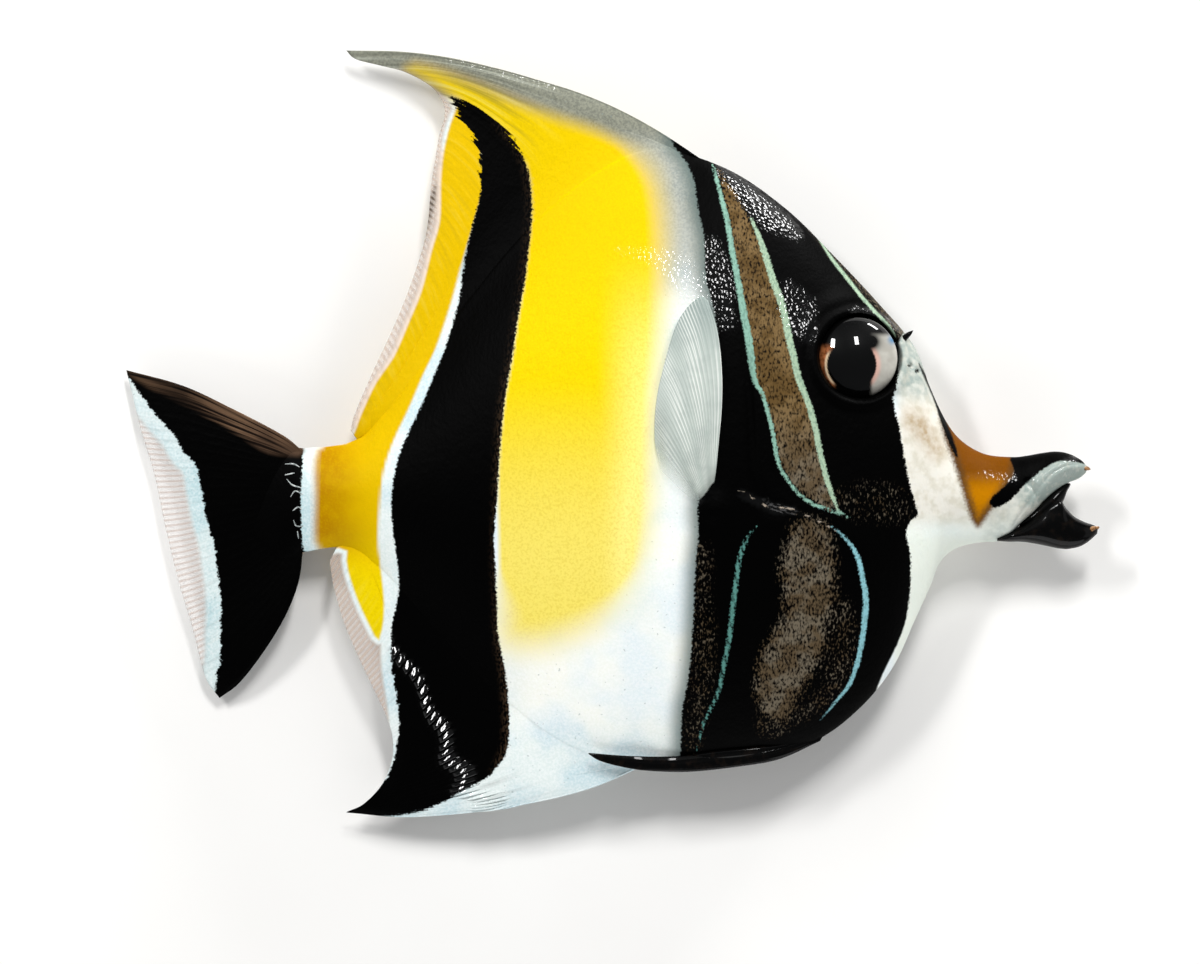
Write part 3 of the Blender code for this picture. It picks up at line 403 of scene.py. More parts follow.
def fin_plan(root, leading, trailing, lean=0, back=(), **more):
    """The four edges of a fin: the leading edge runs from the root to the tip, and the trailing
    one from the tip back to the body."""
    margin = smooth_line([leading[-1]] + trailing)
    return {
        "root": root,
        "front": smooth_line([tuple(root[0])] + leading),
        "margin": margin,
        "back": smooth_line([tuple(root[-1]), *back, tuple(margin[-1])]),
        "lean": lean, **more}


def patch(fin, u, v):
    """A Coons patch: the sum of the two ruled surfaces between opposite edges, less the bilinear
    surface of the four corners. u runs across the rays and v along them."""
    root = at(fin["root"], u)
    margin = at(fin["margin"], u + fin["lean"] * np.sin(math.pi * u))
    front = at(fin["front"], v)
    back = at(fin["back"], v)
    u = u[..., None]
    v = v[..., None]
    corners = ((1 - u) * (1 - v) * fin["root"][0] + u * (1 - v) * fin["root"][-1]
               + (1 - u) * v * fin["margin"][0] + u * v * fin["margin"][-1])
    return (1 - v) * root + v * margin + (1 - u) * front + u * back - corners


def median_level(fin, u, v):
    """The height of a dorsal or anal fin: level with the keel at its root, and lower towards its
    tip, with a shallow ripple."""
    root_x = at(fin["root"], u)[..., 0]
    ripple = 0.18 * np.sin(math.pi * v) * np.sin(9 * u + 2 * v)
    return midplane_height(root_x) - fin["drop"] * (1 - u) ** 1.1 * v ** 1.3 + ripple


def tail_level(fin, u, v):
    """The height of the tail fin, which sags towards the floor along its margin."""
    fall = (2 + (2 * u - 1) ** 2) * v ** 1.7
    ripple = 0.2 * np.sin(math.pi * v) * np.sin(7 * u)
    return midplane_height(-30.8) - fall + ripple


DORSAL = fin_plan(
    keel_line(1, 8.9, -25.4),
    [(5, 30), (1, 32.2), (-3, 33.9), (-7, 35.2), (-11, 36.4), (-16, 37.6), (-21, 38.3),
     (-26.6, 38.5)],
    [(-25.6, 37.6), (-23, 36.9), (-20.5, 36.2), (-17.8, 34.6), (-16.6, 32.4), (-17.2, 29.4),
     (-17.9, 25), (-18.4, 20), (-19.9, 15), (-21.7, 10.5), (-23.8, 6), (-25.5, 2), (-26, 0.2)],
    -0.12, drop=4, sheath=0.34, taper=0.94, bunch=0.3, rays=41)
ANAL = fin_plan(
    keel_line(-1, 3.4, -27.4),
    [(-1, -35.3), (-5, -36.5), (-11, -37.7), (-16, -38.3), (-21, -38.6), (-26.6, -38.3)],
    [(-24.8, -37.4), (-22.9, -35.4), (-21.9, -33), (-21.8, -30.8), (-22.4, -28.6),
     (-23.6, -26), (-25.2, -22.6), (-26.7, -19), (-27.7, -15.5), (-28.1, -12.9)],
    -0.22, drop=3.8, sheath=0.42, taper=0.72, bunch=0.3, rays=40)
TAIL = fin_plan(
    np.array([(-30.8, -1.9), (-30.8, -11.7)]),
    [(-33, -0.2), (-38, 2.4), (-43, 4.7), (-48.8, 6.3)],
    [(-48, 3.2), (-47.2, 0), (-45.9, -4.2), (-44.8, -9.4), (-43.5, -14.8), (-42.1, -19.6),
     (-40.8, -24.6), (-39.4, -26.8)],
    back=[(-31.2, -14.8), (-32.2, -17.6), (-33.6, -20.2), (-35.5, -23), (-37.5, -25.4)],
    sheath=0.22, bunch=0, rays=30)
PECTORAL = fin_plan(
    smooth_line([(10, -6.2), (9.5, -6.9), (8.8, -7.2)]),
    [(10.4, -4), (10.7, -1), (11, 2.5), (11, 6), (10.6, 9.8), (9.7, 12.9)],
    [(8.9, 13.3), (7.6, 12.2), (6.5, 10.4), (5.5, 7.2), (4.6, 3.2), (4.4, -0.8), (5, -3.8)],
    back=[(7.2, -6)], rays=26)
PELVIC = fin_plan(
    smooth_line([(21.4, -30.1), (21.2, -30.5), (21, -30.9)]),
    [(17, -31.2), (11.1, -31.8), (6.7, -32.35), (2, -32.3), (-2.1, -32)],
    [(-2.15, -32.05), (-2.1, -32.15)],
    back=[(17.1, -32.6), (13.5, -33.3), (8.1, -33.9), (3.9, -33.8), (1.2, -33.4), (-1, -32.8)],
    rays=4)


# Markings

def markings(points, thin=False):
    """Where the colours of the flank lie. Each place is followed along the line of sight to the
    middle plane first, so that the bulge of the body doesn't widen a marking: the body's two
    flanks are alike, and a thin fin is followed from where it lies. Depths are in millimetres,
    more than nothing inside a marking, and the rest are shares."""
    middle = midplane_height(points[:, 0])
    aside = np.abs(points[:, 2] - middle)
    bulge = (points[:, 2] if thin else middle + aside) - MIDPLANE
    reach = VIEW_DISTANCE / (VIEW_DISTANCE - bulge)
    x, y = [centre + (points[:, k] - centre) * reach for k, centre in enumerate(VIEW_CENTRE)]
    rear, front, tail, snout, front_yellow, rear_yellow, saddle, drab, nape = [
        depth_inside(outline, x, y) for outline in (
            REAR_BLACK, FRONT_BLACK, TAIL_BLACK, SNOUT_BLACK, FRONT_YELLOW, REAR_YELLOW,
            ORANGE_SADDLE, TAIL_DRAB, NAPE_BROWN)]
    nape_line, brow_line, forehead_line, throat_line, breast_line, shade, fold, margin = [
        depth_in_line(line, x, y) for line in (
            NAPE_LINE, BROW_LINE, FOREHEAD_LINE, THROAT_LINE, BREAST_LINE, NOSE_SHADE, GILL_FOLD_LINE_AND_HIGHLIGHT,
            DARK_MARGIN)]
    nostrils = [size - np.hypot(x - place_x, y - place_y)
                for place_x, place_y, size in ((30.7, 6.1, 0.2), (29.9, 6.6, 0.17))]
    brown = 0.8 * ease(-0.3, 0.5, nape)
    for strength, outline in BROWN_PATCHES:
        edge = depth_inside(outline, x, y)
        brown = np.maximum(brown, strength * ease(-1, 1, edge))
    soft = 0.3 + 1.9 * within((x, 0, 5), (y, 34, 26))
    soft = soft + 0.9 * ease(24, 31, y) + 2.6 * ease(-13, -19, y)
    tail_soft = 0.15 + 0.4 * ease(-28, -29, x)
    wet = np.max([depth_in_line(place, x, y) for place in WET_PLACES], axis=0)
    eye = np.hypot(x - EYE_CENTRE[0], y - EYE_CENTRE[1])
    eye_rim = np.exp(-((eye - 4.8) / 0.5) ** 2) * within((x, 23.2, 24.4), (y, 9, 10.5))
    return {
        "black": np.max([rear, front, tail, snout, shade, *nostrils], axis=0),
        "rim": within((x, 13, 11), (x, 2, 4), (front, -2, 0.1)),
        "fringe": within((-np.abs(rear - 0.2), -0.9, 0.2), (x, -12.5, -10.5))
                  * (0.35 + 0.65 * ease(10, -2, y)),
        "line": np.max([nape_line, brow_line, forehead_line, throat_line, breast_line], axis=0),
        "blue_line": (throat_line > breast_line) & (throat_line > brow_line),
        "pale_line": np.maximum(brow_line, forehead_line) > nape_line,
        "dim_line": (breast_line > throat_line) & (breast_line > brow_line),
        "yellow": np.maximum(ease(-soft, soft, front_yellow),
                             ease(-tail_soft, tail_soft, rear_yellow)),
        "gold": np.maximum(within((x, -11.5, -13), (front_yellow, 0.5, -0.5), (y, -16, -9)),
                           0.5 * ease(8, 22, y)),
        "calm": within((x, -11.5, -13.5), (y, 34, 31)),
        "beige": within((rear, -2.5, -3.5), (x, -13, -15), (y, -1, 1), (y, 34.8, 33.8),
                        (x, -34, -32)),
        "smoke": ease(-0.3, 0.2, margin),
        "keel": 0 * x if thin else within((aside, 3, 1.2), (x, 12, 16)),
        "bright": within((y, -4, -16), (x, -15, -12), (y, -34, -27)),
        "frost": np.max([
            ease(-29, -30.5, x) * (1 - 0.25 * within((y, -5, 1), (x, -36, -40))),
            0.6 * within((x, -12, -14), (y, -32, -28)),
            0.6 * ease(-27, -33, y),
            0.4 * within((x, -7, -10.5), (y, -19, -24))], axis=0),
        "pallor": np.clip(0.6 * within((y, 6, -14), (x, -20, -12))
                          + 0.8 * within((x, -1.5, 4), (y, 20, 2)), 0, 1),
        "ochre": within((x, -23, -28.8), (y, -14, -10)),
        "yellow_edge": np.maximum(front_yellow, rear_yellow),
        "brown": brown,
        "umber": np.maximum(ease(4, -6, y), within((x, 21, 23), (y, 7, 9))),
        "glow": ease(-3.6, -6.4, y),
        "orange": saddle,
        "drab": ease(-0.3, 0.4, drab) * (1 - 0.5 * ease(-35, -44, x)),
        "silver": within((y, 9, 19), (x, 13, 10)) * (1 - within((x, -14, -15.5), (y, 34, 33)))
                  * (0.72 + 0.08 * ease(18, 24, y) + 0.2 * ease(27, 31, y)),
        "face": within((x, 28, 29.5), (y, -10.5, -8.5)),
        "blush": bump(x, y, (30.4, 1.3), 1.2) + bump(x, y, (31.5, -0.2), 1.1)
                 + 0.8 * bump(x, y, (32.7, -1.8), 1.2),
        "shade": within((y, 2, 5), (x, 27, 28.5)) + within((x, 40, 42.5), (y, -8, -6.5))
                 + 0.5 * ease(36.5, 38.5, x),
        "throat": within((y, -7.5, -11.5), (x, 28, 29)),
        # Where the gill fold's pale line lies, which is partly painted highlight
        "fold": fold,
        "fray": 0.3 + 1.5 * ease(24, 31, y),
        "wet": np.maximum(ease(-1, 0.8, wet), 0.5 * eye_rim),
    }


# Meshes

def unit(vectors):
    """Vectors made one long."""
    return vectors / (np.linalg.norm(vectors, axis=-1, keepdims=True) + 1e-12)


def put_object(name, data):
    item = bpy.data.objects.new(name, data)
    bpy.context.scene.collection.objects.link(item)
    return item


def put_piece(name, points, quads, triangles, finish, slot, nodes=(), shares=None):
    """An object from points in millimetres and faces, turned so that its volume is positive,
    which makes its normals point out. The shares become attributes of its points."""
    quads = np.asarray(quads, dtype=int).reshape(-1, 4)
    triangles = np.asarray(triangles, dtype=int).reshape(-1, 3)
    corners = np.concatenate([quads[:, [0, 1, 2]], quads[:, [0, 2, 3]], triangles])
    a, b, c = points[corners].transpose(1, 0, 2)
    if np.sum(a * np.cross(b, c)) < 0:
        quads, triangles = quads[:, ::-1], triangles[:, ::-1]
    mesh = bpy.data.meshes.new(name)
    mesh.from_pydata((points * MM).tolist(), [], quads.tolist() + triangles.tolist())
    mesh.shade_smooth()
    for key, share in (shares or {}).items():
        layer = mesh.attributes.new(key, "FLOAT", "POINT")
        layer.data.foreach_set("value", np.asarray(share, dtype=np.float32).ravel())
    mesh.materials.append(finish)
    piece = put_object(name, mesh)
    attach(piece, "root")
    if nodes:
        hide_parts(*nodes)


def ring_angles(count):
    return np.linspace(0, 2 * math.pi, count, endpoint=False)[None, :]


def tube_points(grid):
    """The points of a grid of rings, and at last the middles of its two end rings."""
    return np.concatenate([grid.reshape(-1, 3), [grid[0].mean(axis=0), grid[-1].mean(axis=0)]])


def put_tube(name, grid, *rest, **more):
    """A closed tube through a grid of rings, with a fan to a middle point at each end."""
    rows, ring = grid.shape[:2]
    k = np.arange(rows * ring).reshape(rows, ring)
    ahead = np.roll(k, -1, axis=1)
    quads = np.stack([k[:-1], ahead[:-1], ahead[1:], k[1:]], axis=-1)
    first = np.stack([np.full(ring, rows * ring), ahead[0], k[0]], axis=-1)
    last = np.stack([np.full(ring, rows * ring + 1), k[-1], ahead[-1]], axis=-1)
    put_piece(name, tube_points(grid), quads, np.concatenate([first, last]), *rest, **more)


def fin_shares(rows, columns):
    """The shares along the rays and across them at the points of a fin's grid."""
    return np.meshgrid(np.linspace(0, 1, rows), np.linspace(0, 1, columns), indexing="ij")


def lifted(plan, level):
    """Places in the plan at their heights."""
    return np.concatenate([plan, level[..., None]], axis=-1)


def on_both(share):
    """A share of a fin's grid for the points of both its faces."""
    return np.tile(share.ravel(), 2)


def sheet_points(grid, half):
    """A sheet's two faces: its middle surface moved along its normals, which are the cross
    products of the differences along and across it, by half of the thickness."""
    normal = unit(np.cross(np.gradient(grid, axis=0), np.gradient(grid, axis=1)))
    offset = normal * np.sign(normal[:, :, 2:3]) * half[:, :, None]
    return np.concatenate([(grid + offset).reshape(-1, 3), (grid - offset).reshape(-1, 3)])


def put_sheet(name, points, rows, columns, *rest):
    """A closed sheet: the upper grid, the lower one and a strip round the rim."""
    k = np.arange(rows * columns).reshape(rows, columns)
    top = np.stack([k[:-1, :-1], k[:-1, 1:], k[1:, 1:], k[1:, :-1]], axis=-1).reshape(-1, 4)
    rim = np.concatenate([k[0], k[1:, -1], k[-1, -2::-1], k[-2:0:-1, 0]])
    ahead = np.roll(rim, -1)
    strip = np.stack([ahead, rim, rim + k.size, ahead + k.size], axis=-1)
    put_piece(name, points, np.concatenate([top, top[:, ::-1] + k.size, strip]), [], *rest)


# Finishes

# Kinds of node: the type, its settings, the inputs in the order they are given, and the output
KINDS = {
    "share": ("Attribute", {}, (), "Fac"),
    "place": ("TexCoord", {}, (), "Object"),
    "stretch": ("Mapping", {}, ("Vector", "Scale"), 0),
    "vector": ("CombineXYZ", {}, (0, 1), 0),
    "noise": ("TexNoise", {}, ("Vector", "Scale", "Detail"), "Fac"),
    "cells": ("TexVoronoi", {}, ("Vector", "Scale"), "Distance"),
    "ease": ("MapRange", {"interpolation_type": "SMOOTHSTEP"},
             ("Value", "From Min", "From Max", "To Min", "To Max"), 0),
    "mix": ("Mix", {"data_type": "RGBA"}, (0, 6, 7), 2),
    "bumps": ("Bump", {}, ("Height", "Distance", "Strength"), 0),
    "sum": ("Math", {"operation": "ADD"}, (0, 1), 0),
    "less": ("Math", {"operation": "SUBTRACT"}, (0, 1), 0),
    "times": ("Math", {"operation": "MULTIPLY"}, (0, 1), 0),
    "times_plus": ("Math", {"operation": "MULTIPLY_ADD"}, (0, 1, 2), 0),
    "sine": ("Math", {"operation": "SINE"}, (0,), 0),
}


def linear(code):
    """An sRGB colour code as linear red, green, blue and full opacity."""
    channels = np.array([int(code[k:k + 2], 16) for k in (1, 3, 5)]) / 255
    spread = np.where(channels <= 0.04045, channels / 12.92, ((channels + 0.055) / 1.055) ** 2.4)
    return (*spread.tolist(), 1)


def set_inputs(tree, item, inputs):
    """Sets a node's inputs. Each is a value, a colour code, an output to link or, by its name, a
    share of the mesh's points."""
    for key, value in inputs.items():
        if isinstance(value, str):
            value = (linear(value) if value[0] == "#"
                     else add(tree, "share", attribute_name=value))
        if isinstance(value, bpy.types.NodeSocket):
            tree.links.new(value, item.inputs[key])
        else:
            item.inputs[key].default_value = value


def add(tree, kind, *inputs, **settings):
    """Adds a node of a kind, with its settings and links, and returns its output."""
    node_type, fixed, keys, output = KINDS[kind]
    item = tree.nodes.new("ShaderNode" + node_type)
    for key, value in {**fixed, **settings}.items():
        setattr(item, key, value)
    set_inputs(tree, item, dict(zip(keys, inputs)))
    return item.outputs[output]


def new_finish(name, look, **values):
    """A material whose Principled shader has the even values and what a look adds to them."""
    finish = bpy.data.materials.new(name)
    finish.use_nodes = True
    tree = finish.node_tree
    inputs = {key.replace("_", " "): value for key, value in values.items()}
    set_inputs(tree, tree.nodes["Principled BSDF"], {**inputs, **look(partial(add, tree))})
    return finish


def flank_colour(add):
    """The colours of the flank from its markings. Fine noise makes their edges as uneven as
    rows of scales make them. On a fin the edges fray along the rays and the rays show as
    streaks."""
    place = add("place")
    fine, fleck, dapple, stain, patches, clouds, broad = [
        add("noise", place, 1 / (size * MM)) for size in (0.24, 0.7, 1.2, 2, 2.4, 6, 7)]
    spots = add("noise", place, 1 / (0.4 * MM), 1)
    dashes = add("noise", add("stretch", place, (1, 0.5, 1)), 1 / (0.2 * MM), 1)
    frayed, streaks = [
        add("noise", add("vector", add("times", across, width), add("times", "reach", along)),
            1, 3)
        for across, width, along in (("ray", 1.7, 1), ("strand", 2, 1.2))]
    fray = add("times_plus", "fray", -0.5, add("times", frayed, "fray"))
    fray = add("times", fray, add("ease", "reach", 0.2, 0.6, 0, 2.4))
    jitter = add("times", add("times_plus", fine, 0.6, -0.3), add("times_plus", "keel", -0.8, 1))
    jitter = add("sum", jitter, fray)
    smooth = add("ease", broad, 0.38, 0.62)
    mottle = add("ease", fleck, 0.3, 0.7, 0.5, 1)
    pale = add("mix", smooth, "#edf2ee", "#cfdfe6")
    for share, over in (
            ("bright", add("mix", smooth, "#f4f5ec", "#e2ecee")),
            ("frost", add("mix", smooth, "#d0dedd", "#b5d0d4")),
            (add("ease", fine, 0.35, 0.68, 0, 0.3), "#ffffff"),
            ("silver", add("mix", add("ease", fine, 0.3, 0.7), "#717368", "#8b8c7d")),
            (add("ease", spots, 0.72, 0.78, 0, 0.4), "#7d8a8a"),
            ("face", add("mix", add("ease", dapple, 0.42, 0.66), "#dcd9cf", "#cdc9bb")),
            ("throat", "#e2e8de"),
            ("beige", "#e4d2c2"),
            (add("times", "shade", mottle), "#95a09a"),
            (add("times", "blush", mottle), "#ab977a")):
        pale = add("mix", share, pale, over)
    yellow = add("mix", "pallor", "#e6cb00", "#f8ea84")
    for share, over in (
            ("gold", "#dab300"),
            (add("times", "ochre", add("ease", patches, 0.3, 0.6, 0.7, 1)), "#b07d00"),
            (add("ease", fine, 0.42, 0.7, 0, 0.26), "#c9a900")):
        yellow = add("mix", share, yellow, over)
    line = add("mix", "blue_line", "#83ab9a", "#84b8c0")
    for share, over in (("dim_line", "#548880"), ("pale_line", "#9db49a"),
                        (add("ease", dashes, 0.45, 0.65, 0, 0.4), "#46665c")):
        line = add("mix", share, line, over)
    soft = add("times", add("ease", "reach", 0.16, 0.6), add("times_plus", "calm", -0.75, 1))
    edge = add("sum", "orange", jitter)
    orange = add("mix", "glow", "#6f3e00", "#b57300")
    orange = add("mix", add("ease", edge, 0.9, -0.1, 0, 0.85), orange, "#4f381e")
    soot = add("mix", add("times", "fringe", add("ease", dashes, 0.42, 0.6)),
               "#000000", "#3b2d20")
    grit = add("times_plus", add("less", dashes, 0.5), 2.2, "brown")
    scales = add("mix", "umber", "#715b3a", "#696051")
    drab = add("mix", add("ease", clouds, 0.4, 0.6), "#6d5440", "#4a382b")
    on_fin = add("times", add("ease", "reach", 0, 0.2), add("ease", streaks, 0.44, 0.58))
    # The layers of colour from the lowest to the highest
    colour = pale
    for share, over in (
            ("yellow", yellow),
            (add("times", soft, add("ease", streaks, 0.46, 0.66, 0, 0.6)),
             add("mix", "yellow", "#55584d", "#8d8124")),
            (add("times", soft, add("ease", streaks, 0.5, 0.32, 0, 0.55)),
             add("mix", "yellow", "#b9bdb0", "#dccf58")),
            (add("times", "rim", 0.85), "#52625f"),
            (add("ease", edge, -0.7, 0.05), orange),
            (add("ease", add("sum", "black", jitter), -0.1, 0.1), soot),
            (add("times", add("ease", grit, 0.25, 1), add("ease", "brown", 0.02, 0.2)),
             add("mix", add("ease", stain, 0.4, 0.6, 0, 0.6), scales, "#46310f")),
            (add("times", "drab", 0.9), add("mix", on_fin, drab, "#140d09")),
            (add("ease", add("times_plus", jitter, 0.7, "line"), -0.06, 0.12), line),
            # The pale line along the gill fold, partly painted highlight
            (add("ease", add("times_plus", jitter, 0.3, "fold"), -0.07, 0.03), "#a39686")):
        colour = add("mix", share, colour, over)
    return colour


def wet_relief(add):
    """Scales as short dashes in rows over a slow unevenness of the skin, and a film of water that
    stands in low domes over the scales, but lies smooth on the knuckles of a fin's rays, and
    gives a sharp second gloss in some places."""
    place = add("place")
    patchy, swell, uneven = [add("noise", place, 1 / (size * MM)) for size in (0.6, 0.9, 1.1)]
    dashes = add("noise", add("stretch", place, (1, 0.6, 1)), 1 / (0.3 * MM), 1)
    cells = add("cells", place, 1 / (0.42 * MM))
    domes = add("less", 1, add("times", cells, cells))
    film = add("times_plus", patchy, 0.6, "wet")
    return {
        "Normal": add("bumps", add("times_plus", uneven, 1.4, dashes), 0.06 * MM, 0.5),
        "Coat Normal": add("bumps", add("times_plus", swell, 1.2, domes), 0.065 * MM,
                           add("times_plus", "bead", -0.85, 1)),
        "Coat Weight": add("ease", film, 0.45, 0.95),
    }


def scaled_skin(add):
    """Fish skin, wet. Rough scales about 0.3 mm wide break its gloss into fine glints, and the
    gloss is sharper where a film of water stands on the skin."""
    return {"Base Color": flank_colour(add), **wet_relief(add)}


def fin_membrane(add):
    """A fin's membrane between its rays, wet: opaque where it is pigmented and nearly clear
    along its margin, with fine streaks along the rays."""
    waves = add("sine", add("times", "ray", 4 * math.pi))
    branches = add("ease", waves, -0.4, 1)
    bare = add("mix", add("ease", "frost", 0.62, 0.72),
               add("mix", branches, "#dccdc2", "#c9b5a7"),
               add("mix", branches, "#f3efec", "#cfc0b8"))
    smoke = add("times", "smoke", add("times_plus", branches, 0.5, 0.5))
    bare = add("mix", smoke, bare, "#5f5448")
    opacity = add("times", "clear", add("times_plus", branches, -0.2, 0.7))
    opacity = add("times", opacity, add("times_plus", smoke, -0.7, 1))
    return {"Base Color": add("mix", "clear", flank_colour(add), bare),
            "Alpha": add("less", 1, opacity), **wet_relief(add)}


def pectoral_membrane(add):
    """A thin grey-white membrane with pale rays. It lets the flank show through a little, and
    more towards its rear edge."""
    dim = add("noise", add("place"), 1 / (1.6 * MM))
    colour = add("mix", "low", "#93a09b", "#bcc5be")
    colour = add("mix", add("ease", "ridge", 0.2, 0.9, 0, 0.8), colour, "#e9ece6")
    return {"Base Color": add("mix", add("ease", dim, 0.45, 0.75, 0, 0.2), colour, "#7f8c8a"),
            "Alpha": "cover"}


def black_skin(add):
    """Bare black skin of the jaw and the pelvic fins, wet and very glossy."""
    place = add("place")
    pitted, tone = [add("noise", place, 1 / (size * MM)) for size in (0.5, 0.8)]
    return {"Base Color": add("mix", add("ease", tone, 0.5, 0.8), "#020202", "#120c08"),
            "Normal": add("bumps", pitted, 0.05 * MM, 0.3)}


def scale_edge_and_highlight(add):
    """The bare edge of a scale, wet, with a soft gloss. Its pale grey is partly grey keratin over
    dark skin and partly painted highlight, standing in for the glints along the edge.
    """
    tone = add("noise", add("place"), 1 / (0.4 * MM))
    return {"Base Color": add("mix", add("ease", tone, 0.35, 0.65), "#7c8483", "#c3c8c6")}


def horn(add):
    """Enamel of the worn teeth, stained brown."""
    tone = add("noise", add("place"), 1 / (0.3 * MM))
    return {"Base Color": add("mix", add("ease", tone, 0.35, 0.65), "#5f3a1c", "#a5784a")}


def eye_look(add):
    """A fish's eye: a black pupil, a copper and silver iris and a wet cornea over both, which is
    the smooth coat. The iris has fine fibres round the pupil."""
    place = add("place")
    fibres = add("noise", place, 1 / (0.5 * MM), 3)
    clouds = add("noise", place, 1 / (1.5 * MM))
    copper = add("mix", add("ease", fibres, 0.3, 0.65), "#5a2b10", "#b26c40")
    silver = add("mix", add("ease", clouds, 0.3, 0.7), "#a09d94", "#b5b2a9")
    silver = add("mix", "pink", silver, "#cc9d8e")
    colour = "#030303"
    for share, tone in (("copper", copper), ("silver", silver), ("cream", "#e3c8a4"),
                        ("blue", "#2f6f9a"), ("pupil", "#010101")):
        colour = add("mix", share, colour, tone)
    return {"Base Color": colour}


def white_card(add):
    """Matt white card: no gloss, and a faint mottle as wide as a hand."""
    mottle = add("noise", add("place"), 1 / (30 * MM))
    return {"Base Color": add("mix", mottle, "#f4f3f1", "#eceae7")}


WET = {"IOR": 1.38, "Specular_IOR_Level": 0.04}
SKIN = new_finish("wet_scaled_skin", scaled_skin, **WET, Roughness=0.5, Coat_Roughness=0.1,
                  Coat_IOR=1.38, Subsurface_Weight=0.06, Subsurface_Scale=0.5 * MM,
                  Subsurface_Radius=(1, 0.7, 0.5))
MEMBRANE = new_finish("fin_membrane", fin_membrane, **WET, Roughness=0.5, Coat_Roughness=0.05,
                      Coat_IOR=1.38)
PECTORAL_SKIN = new_finish("pectoral_membrane", pectoral_membrane, Roughness=0.4, IOR=1.38,
                           Specular_IOR_Level=0.2)
BLACK_SKIN = new_finish("wet_black_skin", black_skin, **WET, Roughness=0.4, Coat_Weight=0.4,
                        Coat_Roughness=0.06, Coat_IOR=1.34)
# The scale edges' pale grey is partly painted highlight
SCALE_EDGE_AND_HIGHLIGHT = new_finish("bare_scale_edge", scale_edge_and_highlight, Roughness=0.35, IOR=1.5)
ENAMEL = new_finish("stained_tooth_enamel", horn, Roughness=0.3, IOR=1.6)
EYE = new_finish("wet_fish_eye", eye_look, **WET, Roughness=0.4, Coat_Weight=1,
                 Coat_Roughness=0.02, Coat_IOR=1.376)
CARD = new_finish("matt_white_card", white_card, Roughness=0.9)


# The skin

def spine_shares(count):
    """Shares of the spine for the rings, closer together over the head."""
    share = np.linspace(0, 1, 900)
    density = 1 + 0.8 * ease(10, 20, at(SPINE, share)[:, 0])
    total = np.concatenate([[0], np.cumsum(density[1:] + density[:-1])])
    return np.interp(np.linspace(0, total[-1], count), total, share)


def sheath_reach(fin, x):
    """Where a ring meets a fin's root, as a share of the root, and how far the scaly sheath runs
    out along the rays there."""
    root = fin["root"]
    length = lengths(root)
    u = np.interp(-x, -root[:, 0], length / length[-1])
    on = (x < root[0, 0]) & (x > root[-1, 0])
    return u, np.where(on, fin["sheath"] * within((u, 0, 0.25), (u, 1, fin["taper"])), 0)


def skin_grid(count, steps):
    """Rings round the body from the lip to the tail. Each runs down the right flank from the
    dorsal sheath's edge, over the keel and the belly to the anal sheath's edge, and back up the
    left flank, where the points are twice as far apart. A ring's half width is a power of the
    angle's sine on the body. A wedge is added where a fin starts, on both sides of the keel: the
    logarithm of one and a falling exponential, which makes the slope change evenly. Each point's
    number of rays and reach along them, on a sheath, are given too."""
    stations = at(SPINE, spine_shares(count))
    dx, dy, vx, vy, width, fullness = [column[:, None] for column in stations.T]
    q = np.linspace(0, 1, steps + 1)[None, :]
    rib = np.hypot(vx - dx, vy - dy)
    ray, thread, out = np.zeros((3, count, steps + 1))
    sheaths = []
    for fin, x, y in ((DORSAL, dx, dy), (ANAL, vx, vy)):
        u, reach = sheath_reach(fin, x)
        length = np.linalg.norm(patch(fin, u, reach) - np.stack([x, y], axis=-1), axis=-1)
        sheaths.append((fin, u, reach, np.where(reach > 0, length, 0)))
    total = sheaths[0][3] + rib + sheaths[1][3]
    dorsal_share = sheaths[0][3] / total
    ventral_share = sheaths[1][3] / total
    angle = math.pi * np.clip((q - dorsal_share) / (1 - dorsal_share - ventral_share), 0, 1)
    along = 0.5 * (1 - np.cos(angle))
    x = dx + (vx - dx) * along
    y = dy + (vy - dy) * along
    middle = midplane_height(x)
    sine = np.sin(angle)
    half = width * section_share(sine, x) * (1 + fullness * np.cos(angle))
    half = np.maximum(half + relief(x, y, sine) * ease(0.02, 0.25, sine), 0)
    for (fin, u, reach, length), share, depth, flip in (
            (sheaths[0], dorsal_share, rib * along, q),
            (sheaths[1], ventral_share, rib * (1 - along), 1 - q)):
        on = flip < share
        s = np.clip(1 - flip / np.maximum(share, 1e-9), 0, 1)
        v = reach * s
        u = np.broadcast_to(u, x.shape)
        place = patch(fin, u, v)
        ray = np.where(on & (length > 0), u * fin["rays"], ray)
        thread = np.where(on & (length > 0), strand(fin, u), thread)
        out = np.where(on, v, out)
        x = np.where(on, place[..., 0], x)
        y = np.where(on, place[..., 1], y)
        middle = np.where(on, median_level(fin, u, v), middle)
        away = np.where(on, s * length, depth)
        wedge = (0.12 * np.exp(-np.where(on, 0, depth))
                 + np.log1p(np.exp(-away / 1.4)) * 1.4 * np.minimum(4 * width / rib, 0.7))
        wedge = wedge * ease(0, 2.5, length)
        half = np.where(flip <= 0, 0, np.where(on, wedge, half + wedge))
    right = np.stack([x, y, middle + half], axis=-1)
    left = np.stack([x, y, middle - pressed(half, middle)], axis=-1)
    grid, ray, thread, out = [
        np.concatenate([whole, other[:, -2:0:-2]], axis=1)
        for whole, other in ((right, left), (ray, ray), (thread, thread), (out, out))]
    return grid, {"ray": ray, "strand": thread, "reach": out}


def make_skin():
    grid, sheaths = skin_grid(SKIN_RINGS, RING_STEPS)
    shares = markings(tube_points(grid))
    for key, share in sheaths.items():
        shares[key] = np.append(share.ravel(), [0, 0])
    put_tube("skin", grid, SKIN, "skin",
             nodes=("head", "snout", "torso", "tail_peduncle", "upper_jaw"), shares=shares)


